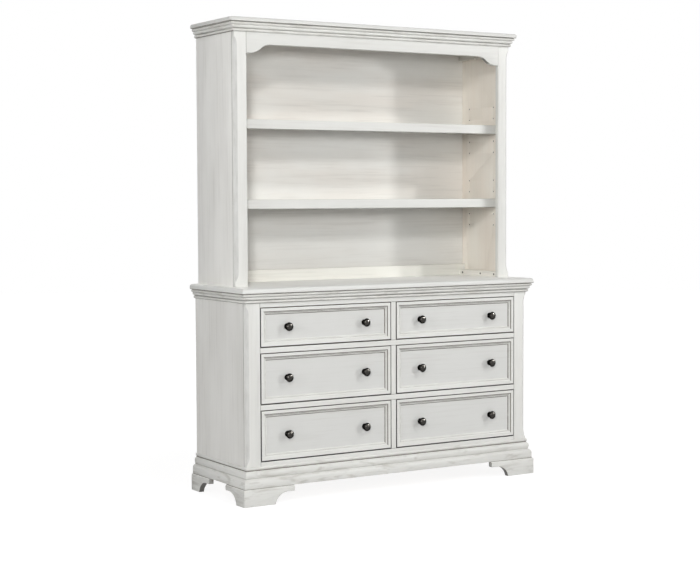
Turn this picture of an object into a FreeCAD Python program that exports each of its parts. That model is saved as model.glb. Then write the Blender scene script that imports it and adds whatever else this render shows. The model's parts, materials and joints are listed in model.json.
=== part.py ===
"""Dresser with six drawers and an open hutch of two shelves, in millimetres.

The origin is on the floor under the middle of the piece. X runs to the right, Y to the back and
Z up. Every size is a cell of the sheet, and every piece is bound to the cells it depends on.
"""
import FreeCAD, Part
import math
import os
import types

import Sketcher

SIZES = (
    ("case_width", 1392, "dresser case, over the two front posts"),
    ("case_depth", 446, "dresser case, from the face to the back edge"),
    ("overhang", 26, "how far the top, the crown and the feet stand out"),
    ("foot_height", 70, "floor to the underside of the case"),
    ("foot_thick", 22, "boards of the bracket feet"),
    ("foot_edge_round", 8, "rounding of the top outer edge of a foot"),
    ("foot_arch_height", 47, "underside of the bracket above the floor"),
    ("foot_curve_width", 58, "width of the curve from the pad to the bracket"),
    ("front_foot_length", 230, "front board of a front foot"),
    ("front_foot_pad", 141, "its flat bearing on the floor"),
    ("side_foot_length", 162, "side board of a front foot"),
    ("side_foot_pad", 68, "its flat bearing on the floor"),
    ("rear_foot_length", 162, "side board of a rear foot"),
    ("rear_foot_pad", 72, "its flat bearing on the floor"),
    ("rear_brace_length", 66, "board across the back of a rear foot"),
    ("rear_brace_pad", 24, "its flat bearing on the floor"),
    ("rear_brace_end", 12, "square end of the brace above its slope"),
    ("block_width", 30, "glue block in the corner of a foot"),
    ("block_lift", 30, "glue block clear of the floor"),
    ("base_height", 84, "moulding round the foot of the case"),
    ("sill_show", 16, "bottom rail seen above the base moulding"),
    ("deep_opening", 206, "opening height of the two lower rows"),
    ("shallow_opening", 160, "opening height of the upper row"),
    ("rail_height", 22, "rails between the rows"),
    ("centre_stile_width", 24, "stile between the columns"),
    ("post_width", 64, "front posts of the dresser"),
    ("face_thick", 20, "posts, rails and stiles of the dresser face"),
    ("lintel_show", 18, "top rail seen below the moulding"),
    ("top_thick", 22, "dresser top"),
    ("top_round", 12, "rounding of the upper edge of the dresser top"),
    ("under_round", 4, "rounding of the lower edge of the dresser top"),
    ("side_thick", 20, "case sides"),
    ("floor_thick", 16, "bottom board of the case"),
    ("back_thick", 8, "back panel of the case"),
    ("back_inset", 6, "back panels stand in from the back edge"),
    ("runner_thick", 20, "runners under the drawer sides"),
    ("runner_lap", 20, "runner reach past the edge of an opening"),
    ("guide_width", 20, "guide strips beside the drawers"),
    ("guide_height", 20, "guide strips above their runners"),
    ("post_chamfer", 14, "stopped chamfer on the dresser posts, along each face"),
    ("post_stop_high", 47, "upper stop below the top of the post"),
    ("post_stop_low", 90, "lower stop above the foot of the post"),
    ("tongue", 36, "length of the run-out at each end of a chamfer"),
    ("drawer_gap", 3, "gap all round a drawer front"),
    ("drawer_travel", 310, "how far a drawer comes out before its tab stops it"),
    ("stop_gap", 3, "tab clear of the rail when the drawer is fully out"),
    ("run_gap", 0.3, "drawer side clear of its runner"),
    ("box_drop", 16, "drawer box lower than its opening at the top"),
    ("box_side_thick", 12, "drawer sides and back"),
    ("box_tail", 60, "drawer sides run on behind the drawer back"),
    ("box_floor_thick", 6, "drawer bottom"),
    ("box_floor_lift", 12, "drawer bottom above the lower edge of the sides"),
    ("groove", 5, "groove in the drawer sides for the bottom"),
    ("tab_width", 30, "stop tab"),
    ("tab_thick", 10, "stop tab"),
    ("tab_hold", 30, "stop tab lapped on the drawer back"),
    ("tab_rise", 8, "stop tab above the opening"),
    ("front_thick", 20, "drawer front at its lip"),
    ("lip_width", 13, "flat lip round a drawer front"),
    ("bead_frame", 13, "moulded slope from the lip to the panel"),
    ("panel_sink", 9, "panel behind the lip"),
    ("knob_reach", 183, "knob from the middle of its drawer"),
    ("knob_width", 35, "knob over its rim"),
    ("knob_length", 29, "knob from the panel to its crown"),
    ("knob_rim_back", 9, "knob rim behind the crown"),
    ("knob_foot", 12.5, "radius of the round plate at the panel"),
    ("knob_neck", 5.5, "radius of the neck"),
    ("knob_plate", 3, "thickness of the round plate"),
    ("knob_bore", 15, "depth of the threaded hole in the knob"),
    ("screw_width", 4, "shanks of the knob screws and cleat screws"),
    ("screw_clear", 0.5, "shank clear of its hole, all round"),
    ("screw_head", 8, "screw heads"),
    ("screw_head_thick", 3, "screw heads"),
    ("hutch_inset", 14, "hutch in from the case at each side"),
    ("hutch_depth", 338, "hutch from its face to the back edge"),
    ("hutch_height", 1073, "hutch from the dresser top to the crown"),
    ("crown_thick", 18, "crown board"),
    ("crown_round", 8, "rounding of the upper edge of the crown"),
    ("crown_under", 3, "rounding of the lower edge of the crown"),
    ("hutch_side_thick", 18, "hutch sides"),
    ("hutch_stile_width", 55, "front stiles of the hutch"),
    ("hutch_face_thick", 20, "stiles and arched rail of the hutch"),
    ("hutch_back_thick", 12, "hutch back panel"),
    ("ceiling_drop", 32, "underside of the crown to the ceiling panel"),
    ("ceiling_thick", 15, "ceiling panel"),
    ("arch_drop", 121, "arched rail at its ends, below the crown"),
    ("arch_rise", 36, "how much the arch rises to its middle"),
    ("arch_shoulder", 17, "flat at each end of the arch"),
    ("arch_sweep", 96, "width of the double curve of the arch"),
    ("stile_stop_high", 55, "upper stop below the top of the stile"),
    ("stile_stop_low", 20, "lower stop above the dresser top"),
    ("shelf_thick", 15, "shelf boards"),
    ("shelf_lip_height", 38, "front lip of a shelf"),
    ("shelf_lip_thick", 20, "front lip of a shelf"),
    ("shelf_front", 288, "front of a shelf from the back edge"),
    ("shelf_play", 1, "shelf clear of the sides and the back panel"),
    ("lower_pin_height", 331, "middle pin hole of the lower set above the dresser top"),
    ("upper_pin_height", 656, "middle pin hole of the upper set above the dresser top"),
    ("pin_pitch", 50, "pin holes, one above the other"),
    ("pin_back", 72, "rear column of pin holes from the back edge"),
    ("pin_front", 253, "front column of pin holes from the back edge"),
    ("pin_width", 5, "shelf pins"),
    ("pin_clear", 0.3, "pin clear of its hole, and shelf above its pins"),
    ("pin_hole_depth", 10, "pin holes"),
    ("pin_reach", 9, "pin standing out of the side"),
    ("rear_rail_height", 50, "rail across the foot of the hutch back"),
    ("rear_rail_thick", 20, "rail across the foot of the hutch back"),
    ("low_cleat_width", 30, "cleats along the foot of the sides"),
    ("low_cleat_height", 24, "cleats along the foot of the sides"),
    ("high_cleat_width", 20, "cleats under the ceiling at the back"),
    ("high_cleat_height", 29, "cleats under the ceiling at the back"),
    ("high_cleat_length", 120, "cleats under the ceiling at the back"),
    ("screw_inset", 22, "end screws of a cleat from its ends"),
    ("screw_middle", 157, "middle screw of a low cleat from its rear end"),
    ("high_screw_inset", 60, "screw of a high cleat from its rear end"),
    ("counterbore", 12, "screw heads sunk in the cleats"),
    ("pilot_depth", 12, "pilot holes past the cleats"),
)

# Top and crown moulding: how far it stands out, and how far down from its top.
BEAD_ROOT = 14
BEAD_HIGH = 12
OVOLO_START = 12.5
OVOLO_TOP = 13
OVOLO_BOTTOM = 25
OVOLO_END = 6
SMALL_ROOT = 3
SMALL_TOP = 26
SMALL_BOTTOM = 38

# Base moulding, in the same way.
BASE_BEAD = 2
BASE_BEAD_RADIUS = 7.3
BASE_BEAD_HIGH = 13
BASE_GROOVE = 3
BASE_GROOVE_LOW = 16
BASE_SWELL = 11
BASE_SWELL_LOW = 30
BASE_WAIST = 8
BASE_WAIST_TOP = 44
BASE_WAIST_LOW = 46
BASE_FOOT_LOW = 62
BASE_FOOT = 20

# Slope of a drawer front: inwards from its lip, and down from the face.
FILLET_DROP = 1.5
OVOLO_RUN = 6
OVOLO_DROP = 5
BEAD_START = 7
BEAD_RUN = 4

doc = FreeCAD.newDocument("DresserWithHutch")
sheet = doc.addObject("Spreadsheet::Sheet", "Sizes")
nodes = []


class Size:
    """A length that knows its value now and the sheet expression that gives it."""

    def __init__(self, value, text=None):
        self.value = float(value)
        self.text = text or "(%r)" % float(value)

    @staticmethod
    def of(thing):
        return thing if isinstance(thing, Size) else Size(thing)

    def __add__(self, other):
        other = Size.of(other)
        return Size(self.value + other.value, "(%s + %s)" % (self.text, other.text))

    def __sub__(self, other):
        other = Size.of(other)
        return Size(self.value - other.value, "(%s - %s)" % (self.text, other.text))

    def __mul__(self, other):
        other = Size.of(other)
        return Size(self.value * other.value, "(%s * %s)" % (self.text, other.text))

    def __truediv__(self, other):
        other = Size.of(other)
        return Size(self.value / other.value, "(%s / %s)" % (self.text, other.text))

    def __neg__(self):
        return Size(-self.value, "(0 - %s)" % self.text)

    def __radd__(self, other):
        return Size.of(other) + self

    def __rsub__(self, other):
        return Size.of(other) - self

    def __rmul__(self, other):
        return Size.of(other) * self


def fill_sheet():
    """Write every size into the sheet and return them by name."""
    named = {}
    for row, (alias, value, note) in enumerate(SIZES, start=1):
        sheet.set("A%d" % row, note)
        sheet.set("B%d" % row, str(value))
        sheet.setAlias("B%d" % row, alias)
        named[alias] = Size(value, "Sizes." + alias)
    doc.recompute()
    return types.SimpleNamespace(**named)


sz = fill_sheet()


# ---- helpers ---------------------------------------------------------------------------------


def bind(thing, prop, size):
    """Tie one property to the sheet."""
    thing.setExpression(prop, Size.of(size).text)


def place(thing, x, y, z):
    """Tie the place of a piece to the sheet."""
    for axis, size in zip("xyz", (x, y, z)):
        bind(thing, "Placement.Base." + axis, size)
    return thing


def node(label, thing):
    """Give a finished sub-part its name."""
    thing.Label = label
    nodes.append(thing)
    return thing


def board(name, x, y, z):
    """A plain board between two places on each axis."""
    box = doc.addObject("Part::Box", name)
    for prop, (low, high) in zip(("Length", "Width", "Height"), (x, y, z)):
        bind(box, prop, Size.of(high) - Size.of(low))
    return place(box, x[0], y[0], z[0])


def on_side(span, side):
    """A span on the right side, or its mirror image on the left."""
    low, high = span
    return (low, high) if side > 0 else (-high, -low)


def cylinder(name, width, length, at, axis):
    """A round bar from a place along an axis."""
    bar = doc.addObject("Part::Cylinder", name)
    bar.Placement = FreeCAD.Placement(
        FreeCAD.Vector(), FreeCAD.Rotation(FreeCAD.Vector(0, 0, 1), FreeCAD.Vector(*axis)))
    bind(bar, "Radius", width / 2)
    bind(bar, "Height", length)
    return place(bar, *at)


def group(name, pieces):
    """Separate solids kept together."""
    bundle = doc.addObject("Part::Compound", name)
    bundle.Links = pieces
    return bundle


def cut(name, base, tools):
    """One solid with others taken out of it."""
    result = doc.addObject("Part::Cut", name)
    result.Base = base
    result.Tool = tools[0] if len(tools) == 1 else group(name + "_tools", tools)
    doc.recompute()
    if result.Shape.Volume >= base.Shape.Volume:
        raise RuntimeError(name + " took nothing away")
    return result


def mirror(name, source):
    """The same piece on the other side."""
    image = doc.addObject("Part::Mirroring", name)
    image.Source = source
    image.Normal = FreeCAD.Vector(1, 0, 0)
    return image


def new_body(name, x, y, z):
    """An empty body at its place."""
    return place(doc.addObject("PartDesign::Body", name), x, y, z)


def sketch_on(body, role, name):
    """A sketch on one of the body's own planes."""
    sketch = body.newObject("Sketcher::SketchObject", name)
    plane = [feature for feature in body.Origin.OriginFeatures if feature.Role == role][0]
    sketch.AttachmentSupport = [(plane, "")]
    sketch.MapMode = "FlatFace"
    return sketch


def pin_point(sketch, side, point, x, y):
    """Hold one point of a sketch at two sizes from its origin."""
    for kind, size in (("DistanceX", x), ("DistanceY", y)):
        size = Size.of(size)
        index = sketch.addConstraint(Sketcher.Constraint(kind, -1, 1, side, point, size.value))
        bind(sketch, "Constraints[%d]" % index, size)


def arc_centre(start, end, axis, known):
    """Centre of an arc between two points, from one of its two coordinates."""
    k = 0 if axis == "x" else 1
    j = 1 - k
    squares = (end[k] - known) ** 2 - (start[k] - known) ** 2
    other = (end[j] ** 2 - start[j] ** 2 + squares) / (2 * (end[j] - start[j]))
    return (known, other) if axis == "x" else (other, known)


def outline(sketch, steps):
    """Draw a closed outline.

    A step is (x, y), reached by a straight line, or (x, y, axis, centre, turn), reached by an arc
    whose centre has that coordinate; turn is 1 for anticlockwise and -1 for clockwise.
    """
    points = [(Size.of(step[0]).value, Size.of(step[1]).value) for step in steps]
    count = len(steps)
    ends = []
    for number in range(count):
        start = points[number]
        end = points[(number + 1) % count]
        step = steps[(number + 1) % count]
        if len(step) == 2:
            line = Part.LineSegment(FreeCAD.Vector(*start, 0), FreeCAD.Vector(*end, 0))
            ends.append((sketch.addGeometry(line, False), 1, 2))
            continue
        axis, known, turn = step[2:]
        centre = arc_centre(start, end, axis, Size.of(known).value)
        radius = math.dist(centre, start)
        first, last = (start, end) if turn > 0 else (end, start)
        angles = [math.atan2(spot[1] - centre[1], spot[0] - centre[0]) for spot in (first, last)]
        if angles[1] < angles[0]:
            angles[1] += 2 * math.pi
        circle = Part.Circle(FreeCAD.Vector(*centre, 0), FreeCAD.Vector(0, 0, 1), radius)
        side = sketch.addGeometry(Part.ArcOfCircle(circle, *angles), False)
        ends.append((side, 1, 2) if turn > 0 else (side, 2, 1))
    for number, (side, begin, finish) in enumerate(ends):
        following = ends[(number + 1) % count]
        joint = Sketcher.Constraint("Coincident", side, finish, following[0], following[1])
        sketch.addConstraint(joint)
    for number, (side, begin, finish) in enumerate(ends):
        pin_point(sketch, side, begin, *steps[number][:2])
        step = steps[(number + 1) % count]
        if len(step) > 2:
            centre = Size.of(step[3])
            kind = "DistanceX" if step[2] == "x" else "DistanceY"
            index = sketch.addConstraint(Sketcher.Constraint(kind, -1, 1, side, 3, centre.value))
            bind(sketch, "Constraints[%d]" % index, centre)


def rectangle(sketch, x, y):
    """Draw a rectangle between two places on each axis."""
    outline(sketch, [(x[0], y[0]), (x[1], y[0]), (x[1], y[1]), (x[0], y[1])])


def circles(sketch, width, spots):
    """Draw equal circles."""
    for x, y in spots:
        middle = FreeCAD.Vector(Size.of(x).value, Size.of(y).value, 0)
        ring = Part.Circle(middle, FreeCAD.Vector(0, 0, 1), width.value / 2)
        side = sketch.addGeometry(ring, False)
        pin_point(sketch, side, 3, x, y)
        constraint = Sketcher.Constraint("Diameter", side, width.value)
        bind(sketch, "Constraints[%d]" % sketch.addConstraint(constraint), width)


def pad(body, sketch, length, sides="One side", turned=False):
    """Thicken a sketch."""
    feature = body.newObject("PartDesign::Pad", body.Name + "_Pad")
    feature.Profile = sketch
    feature.SideType = sides
    feature.Reversed = turned
    bind(feature, "Length", length)
    doc.recompute()
    return feature


def pocket(body, sketch, length, sides="One side", turned=False):
    """Cut a sketch into the body, and make sure that it cut something."""
    before = body.Shape.Volume
    feature = body.newObject("PartDesign::Pocket", body.Name + "_" + sketch.Name + "_Cut")
    feature.Profile = sketch
    feature.SideType = sides
    feature.Reversed = turned
    bind(feature, "Length", length)
    doc.recompute()
    if body.Shape.Volume >= before:
        raise RuntimeError(feature.Name + " took nothing away")
    return feature


def fillet(body, base, radius, wanted):
    """Round the edges whose middle, in the body's own frame, passes a test."""
    names = []
    for number, edge in enumerate(base.Shape.Edges, start=1):
        if wanted(edge.BoundBox.Center):
            names.append("Edge%d" % number)
    feature = body.newObject("PartDesign::Fillet", body.Name + "_Fillet%d" % len(body.Group))
    feature.Base = (base, names)
    bind(feature, "Radius", radius)
    doc.recompute()
    return feature


# ---- places that many pieces share -----------------------------------------------------------

half = sz.case_width / 2
back = (sz.case_depth + sz.overhang) / 2
face = back - sz.case_depth
behind_face = face + sz.face_thick
post_inner = half - sz.post_width
stile_half = sz.centre_stile_width / 2
side_inner = half - sz.side_thick
reach = half + sz.overhang
panel_back = back - sz.back_inset
panel_front = panel_back - sz.back_thick
case_floor = sz.foot_height + sz.floor_thick
base_top = sz.foot_height + sz.base_height

row_low = [base_top + sz.sill_show]
row_high = [row_low[0] + sz.deep_opening]
for row_height in (sz.deep_opening, sz.shallow_opening):
    row_low.append(row_high[-1] + sz.rail_height)
    row_high.append(row_low[-1] + row_height)
moulding_height = SMALL_BOTTOM
case_top = row_high[-1] + sz.lintel_show + moulding_height
top_level = case_top + sz.top_thick

hutch_half = half - sz.hutch_inset
hutch_face = back - sz.hutch_depth
hutch_behind = hutch_face + sz.hutch_face_thick
hutch_inner = hutch_half - sz.hutch_side_thick
hutch_opening = hutch_half - sz.hutch_stile_width
hutch_reach = hutch_half + sz.overhang
hutch_panel_back = back - sz.back_inset
hutch_panel = hutch_panel_back - sz.hutch_back_thick
crown_level = top_level + sz.hutch_height
crown_low = crown_level - sz.crown_thick
ceiling_high = crown_low - sz.ceiling_drop
ceiling_low = ceiling_high - sz.ceiling_thick
hole_width = sz.screw_width + 2 * sz.screw_clear


# ---- boards with rounded edges ---------------------------------------------------------------


def rounded_slab(label, reach_x, front_y, low, thick, upper, lower):
    """A top board, square at the back and rounded above and below on the other edges."""
    body = new_body(label, 0, 0, low)
    sketch = sketch_on(body, "XY_Plane", label + "_plan")
    rectangle(sketch, (-reach_x, reach_x), (front_y, back))
    slab = pad(body, sketch, thick)

    def rim(level):
        """Test for the front and side edges at one level."""
        def wanted(middle):
            at_back = abs(middle.y - back.value) < 1
            return not at_back and abs(middle.z - level) < 1e-3
        return wanted

    top = fillet(body, slab, upper, rim(thick.value))
    fillet(body, top, lower, rim(0))
    return node(label, body)


# ---- mouldings -------------------------------------------------------------------------------


def crown_profile():
    """Three ribs, each further in than the one above: bead, ovolo and small bead."""
    return [
        (0, 0),
        (-BEAD_ROOT, 0),
        (-BEAD_ROOT, -BEAD_HIGH, "x", -BEAD_ROOT, 1),
        (-OVOLO_START, -BEAD_HIGH),
        (-OVOLO_START, -OVOLO_TOP),
        (-OVOLO_END, -OVOLO_BOTTOM, "x", -OVOLO_END, 1),
        (-SMALL_ROOT, -SMALL_TOP),
        (-SMALL_ROOT, -SMALL_BOTTOM, "x", -SMALL_ROOT, 1),
        (0, -SMALL_BOTTOM),
    ]


def base_profile():
    """Bead, groove, swelling, larger ovolo and flat, from the top down."""
    hollow = math.sqrt(BASE_BEAD_RADIUS ** 2 - (BASE_BEAD_HIGH / 2) ** 2)
    return [
        (0, 0),
        (-BASE_BEAD, 0),
        (-BASE_BEAD, -BASE_BEAD_HIGH, "x", hollow - BASE_BEAD, 1),
        (-BASE_GROOVE, -BASE_GROOVE_LOW),
        (-BASE_SWELL, -BASE_SWELL_LOW, "y", -BASE_SWELL_LOW, 1),
        (-BASE_WAIST, -BASE_WAIST_TOP, "y", -BASE_SWELL_LOW, 1),
        (-BASE_WAIST, -BASE_WAIST_LOW),
        (-BASE_FOOT, -BASE_FOOT_LOW, "y", -BASE_FOOT_LOW, 1),
        (-BASE_FOOT, -sz.base_height),
        (0, -sz.base_height),
    ]


def moulding(label, profile, half_width, front_y, top, height):
    """Three lengths of moulding, mitred at the two front corners."""
    run = sz.overhang
    front = new_body(label + "_front", 0, front_y, top)
    section = sketch_on(front, "YZ_Plane", label + "_front_section")
    outline(section, profile)
    pad(front, section, 2 * (half_width + run), sides="Symmetric")
    for side, name in ((-1, "left"), (1, "right")):
        corner = sketch_on(front, "XY_Plane", label + "_front_mitre_" + name)
        near = side * half_width
        far = side * (half_width + run)
        outline(corner, [(near, 0), (far, -run), (far, 0)])
        pocket(front, corner, 2 * height, sides="Symmetric")

    length = back - front_y
    left = new_body(label + "_left", -half_width, back, top)
    section = sketch_on(left, "XZ_Plane", label + "_side_section")
    outline(section, profile)
    pad(left, section, length + run)
    corner = sketch_on(left, "XY_Plane", label + "_side_mitre")
    outline(corner, [(0, -length), (-run, -length - run), (0, -length - run)])
    pocket(left, corner, 2 * height, sides="Symmetric")
    right = mirror(label + "_right", left)
    return node(label, group(label + "_set", [front, left, right]))


# ---- posts and stiles with stopped chamfers --------------------------------------------------


def chamfered_post(name, width, thick, low, high, chamfer, stop_high, stop_low, half_width, front_y):
    """An upright for the left corner, with a stopped chamfer on its outer edge."""
    body = new_body(name, -half_width, front_y, low)
    plan = sketch_on(body, "XY_Plane", name + "_plan")
    rectangle(plan, (0, width), (0, thick))
    pad(body, plan, high - low)
    cutter = sketch_on(body, "XZ_Plane", name + "_chamfer")
    cutter.AttachmentOffset = FreeCAD.Placement(
        FreeCAD.Vector(), FreeCAD.Rotation(FreeCAD.Vector(0, 1, 0), 45))
    deep = chamfer / math.sqrt(2)
    upper = high - low - stop_high
    outline(cutter, [
        (-deep, stop_low),
        (0, stop_low),
        (deep, stop_low + sz.tongue, "y", stop_low + sz.tongue, 1),
        (deep, upper - sz.tongue),
        (0, upper, "y", upper - sz.tongue, 1),
        (-deep, upper),
    ])
    pocket(body, cutter, 3 * chamfer, sides="Symmetric")
    return body


# ---- bracket feet ----------------------------------------------------------------------------


def bracket_outline(direction, length, bearing):
    """Board of a bracket foot: bearing, curve, flat underside, square end."""
    top = sz.foot_height
    arch = sz.foot_arch_height
    curve = direction * (bearing + sz.foot_curve_width)
    return [
        (0, 0),
        (direction * bearing, 0),
        (curve, arch, "x", curve, -direction),
        (direction * length, arch),
        (direction * length, top),
        (0, top),
    ]


def round_top(body, base, wanted):
    """Round the top outer edge of a foot board."""
    level = sz.foot_height.value

    def test(middle):
        return abs(middle.z - level) < 1e-3 and wanted(middle)

    return fillet(body, base, sz.foot_edge_round, test)


def front_foot():
    """Two boards mitred at the corner, with a glue block behind them."""
    thick = sz.foot_thick
    front = new_body("front_board", -reach, face - sz.overhang + thick, 0)
    sketch = sketch_on(front, "XZ_Plane", "front_board_shape")
    outline(sketch, bracket_outline(1, sz.front_foot_length, sz.front_foot_pad))
    flat = pad(front, sketch, thick)
    round_top(front, flat, lambda middle: abs(middle.y + thick.value) < 1e-3)
    corner = sketch_on(front, "XY_Plane", "front_board_mitre")
    outline(corner, [(0, -thick), (thick, 0), (0, 0)])
    pocket(front, corner, 2 * sz.foot_height, sides="Symmetric")

    side = new_body("side_board", -reach, face - sz.overhang, 0)
    sketch = sketch_on(side, "YZ_Plane", "side_board_shape")
    outline(sketch, bracket_outline(1, sz.side_foot_length, sz.side_foot_pad))
    flat = pad(side, sketch, thick)
    round_top(side, flat, lambda middle: abs(middle.x) < 1e-3)
    corner = sketch_on(side, "XY_Plane", "side_board_mitre")
    outline(corner, [(0, 0), (thick, 0), (thick, thick)])
    pocket(side, corner, 2 * sz.foot_height, sides="Symmetric")

    inner_x = -reach + thick
    inner_y = face - sz.overhang + thick
    block = board("front_block", (inner_x, inner_x + sz.block_width),
                  (inner_y, inner_y + sz.block_width), (sz.block_lift, sz.foot_height))
    return group("front_foot_set", [front, side, block])


def rear_foot():
    """A side board, a brace across the back and a glue block."""
    thick = sz.foot_thick
    side = new_body("rear_board", -reach, back, 0)
    sketch = sketch_on(side, "YZ_Plane", "rear_board_shape")
    outline(sketch, bracket_outline(-1, sz.rear_foot_length, sz.rear_foot_pad))
    flat = pad(side, sketch, thick)
    round_top(side, flat, lambda middle: abs(middle.x) < 1e-3)
    inner_x = -reach + thick
    brace_front = back - thick
    brace = new_body("rear_brace", inner_x, back, 0)
    sketch = sketch_on(brace, "XZ_Plane", "rear_brace_shape")
    top = sz.foot_height
    outline(sketch, [
        (0, 0),
        (sz.rear_brace_pad, 0),
        (sz.rear_brace_length, top - sz.rear_brace_end),
        (sz.rear_brace_length, top),
        (0, top),
    ])
    pad(brace, sketch, thick)
    block = board("rear_block", (inner_x, inner_x + sz.block_width),
                  (brace_front - sz.block_width, brace_front), (sz.block_lift, sz.foot_height))
    return group("rear_foot_set", [side, brace, block])


# ---- dresser case ----------------------------------------------------------------------------


def build_case():
    """Top, sides, face frame, inner boards, mouldings and feet."""
    rounded_slab("dresser_top", reach, face - sz.overhang, case_top, sz.top_thick,
                 sz.top_round, sz.under_round)
    moulding("top_moulding", crown_profile(), half, face, case_top, SMALL_BOTTOM)
    moulding("base_moulding", base_profile(), half, face, base_top, sz.base_height)

    left_post = chamfered_post("front_post_left", sz.post_width, sz.face_thick, sz.foot_height,
                               case_top, sz.post_chamfer, sz.post_stop_high, sz.post_stop_low,
                               half, face)
    node("front_post_left", left_post)
    node("front_post_right", mirror("front_post_right", left_post))

    frame_y = (face, behind_face)
    between_posts = (-post_inner, post_inner)
    node("face_rail_top", board("face_rail_top", between_posts, frame_y, (row_high[2], case_top)))
    node("face_rail_bottom",
         board("face_rail_bottom", between_posts, frame_y, (sz.foot_height, row_low[0])))
    rails = [board("face_mid_rail_%d" % row, between_posts, frame_y, (row_high[row], row_low[row + 1]))
             for row in (0, 1)]
    node("face_mid_rails", group("face_mid_rails", rails))
    middle = (-stile_half, stile_half)
    stiles = [board("centre_stile_%d" % row, middle, frame_y, (row_low[row], row_high[row]))
              for row in range(3)]
    node("centre_stiles", group("centre_stiles", stiles))

    inside_y = (behind_face, panel_front)
    for side, name in ((-1, "left"), (1, "right")):
        side_x = on_side((side_inner, half), side)
        node("case_side_" + name,
             board("case_side_" + name, side_x, (behind_face, back), (sz.foot_height, case_top)))
    inner_x = (-side_inner, side_inner)
    node("case_bottom",
         board("case_bottom", inner_x, (behind_face, panel_back), (sz.foot_height, case_floor)))
    node("case_back", board("case_back", inner_x, (panel_front, panel_back), (case_floor, case_top)))
    node("centre_partition",
         board("centre_partition", middle, inside_y, (case_floor, case_top)))
    build_runners(inside_y)

    feet = {"front": front_foot(), "rear": rear_foot()}
    for where, left_foot in feet.items():
        node("foot_%s_left" % where, left_foot)
        node("foot_%s_right" % where, mirror("foot_%s_right" % where, left_foot))


def build_runners(inside_y):
    """Runners under the drawers, which also hold down the row below, and their side guides."""
    runners = []
    guides = []
    levels = row_low + [row_high[2] + sz.rail_height]
    for number, level in enumerate(levels):
        for side in (-1, 1):
            height = (level - sz.runner_thick, level)
            outer = on_side((post_inner - sz.runner_lap, side_inner), side)
            inner = on_side((stile_half, stile_half + sz.runner_lap), side)
            tag = "%d_%d" % (number, side + 1)
            runners.append(board("outer_runner_" + tag, outer, inside_y, height))
            runners.append(board("inner_runner_" + tag, inner, inside_y, height))
            if number < 3:
                strip = on_side((post_inner, post_inner + sz.guide_width), side)
                guides.append(board("guide_" + tag, strip, inside_y, (level, level + sz.guide_height)))
    node("drawer_runners", group("drawer_runners", runners))
    node("drawer_guides", group("drawer_guides", guides))


# ---- drawers ---------------------------------------------------------------------------------


def front_section():
    """Lip, fillet, ovolo and bead of a drawer front, from its outer edge inwards.

    Distances up are from the outer edge, and distances along the first axis are from the back.
    """
    lip_face = -sz.front_thick
    panel = -(sz.front_thick - sz.panel_sink)
    step = lip_face + FILLET_DROP
    foot = step + OVOLO_DROP
    inner = sz.lip_width + sz.bead_frame
    seat = sz.lip_width + OVOLO_RUN
    bead = sz.lip_width + BEAD_START
    return [
        (panel / 2, 0),
        (lip_face, 0),
        (lip_face, sz.lip_width),
        (step, sz.lip_width),
        (foot, seat, "x", foot, -1),
        (foot, bead),
        (foot, bead + BEAD_RUN, "x", foot, -1),
        (panel, inner),
        (panel / 2, inner),
    ]


def drawer_front(label, x, z, height):
    """Panel with a mitred, moulded frame round it and holes for the knob screws."""
    width = x[1] - x[0]
    body = new_body(label, x[0], behind_face, z)
    plan = sketch_on(body, "XZ_Plane", label + "_plan")
    rectangle(plan, (0, width), (0, height))
    pad(body, plan, sz.front_thick - sz.panel_sink)
    path = sketch_on(body, "XZ_Plane", label + "_path")
    rectangle(path, (0, width), (0, height))
    section = sketch_on(body, "YZ_Plane", label + "_section")
    outline(section, front_section())
    doc.recompute()
    frame = body.newObject("PartDesign::AdditivePipe", label + "_Frame")
    frame.Profile = section
    frame.Spine = path
    frame.Transition = "Right corner"
    doc.recompute()
    holes = sketch_on(body, "XZ_Plane", label + "_holes")
    spots = [(width / 2 + side * sz.knob_reach, height / 2) for side in (-1, 1)]
    circles(holes, hole_width, spots)
    pocket(body, holes, sz.front_thick, turned=True)
    return node(label, body)


def drawer_box(label, x, z, height):
    """Two grooved sides, a back between them and a stop tab."""
    thick = sz.box_side_thick
    rail_back = behind_face
    tab_front = rail_back + sz.drawer_travel + sz.stop_gap
    back_front = tab_front + sz.tab_thick
    box_end = back_front + thick + sz.box_tail
    floor_low = z + sz.box_floor_lift
    floor_high = floor_low + sz.box_floor_thick
    groove_x = (x[0] + thick - sz.groove, x[1] - thick + sz.groove)
    floor_y = (rail_back, back_front + thick)
    bottom = board(label + "_bottom", groove_x, floor_y, (floor_low, floor_high))
    sides = []
    for name, span in (("left", (x[0], x[0] + thick)), ("right", (x[1] - thick, x[1]))):
        plain = board(label + "_plain_" + name, span, (rail_back, box_end), (z, z + height))
        slot = board(label + "_slot_" + name, groove_x, floor_y, (floor_low, floor_high))
        sides.append(cut(label + "_side_" + name, plain, [slot]))
    inner = (x[0] + thick, x[1] - thick)
    rear = board(label + "_rear", inner, (back_front, back_front + thick), (floor_high, z + height))
    middle = (x[0] + x[1]) / 2
    tab_low = z + height - sz.tab_hold
    tab_high = z + height + sz.box_drop + sz.tab_rise
    tab = board(label + "_tab", (middle - sz.tab_width / 2, middle + sz.tab_width / 2),
                (tab_front, back_front), (tab_low, tab_high))
    node(label + "_box", group(label + "_box", sides + [rear, tab]))
    node(label + "_bottom", bottom)


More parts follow.
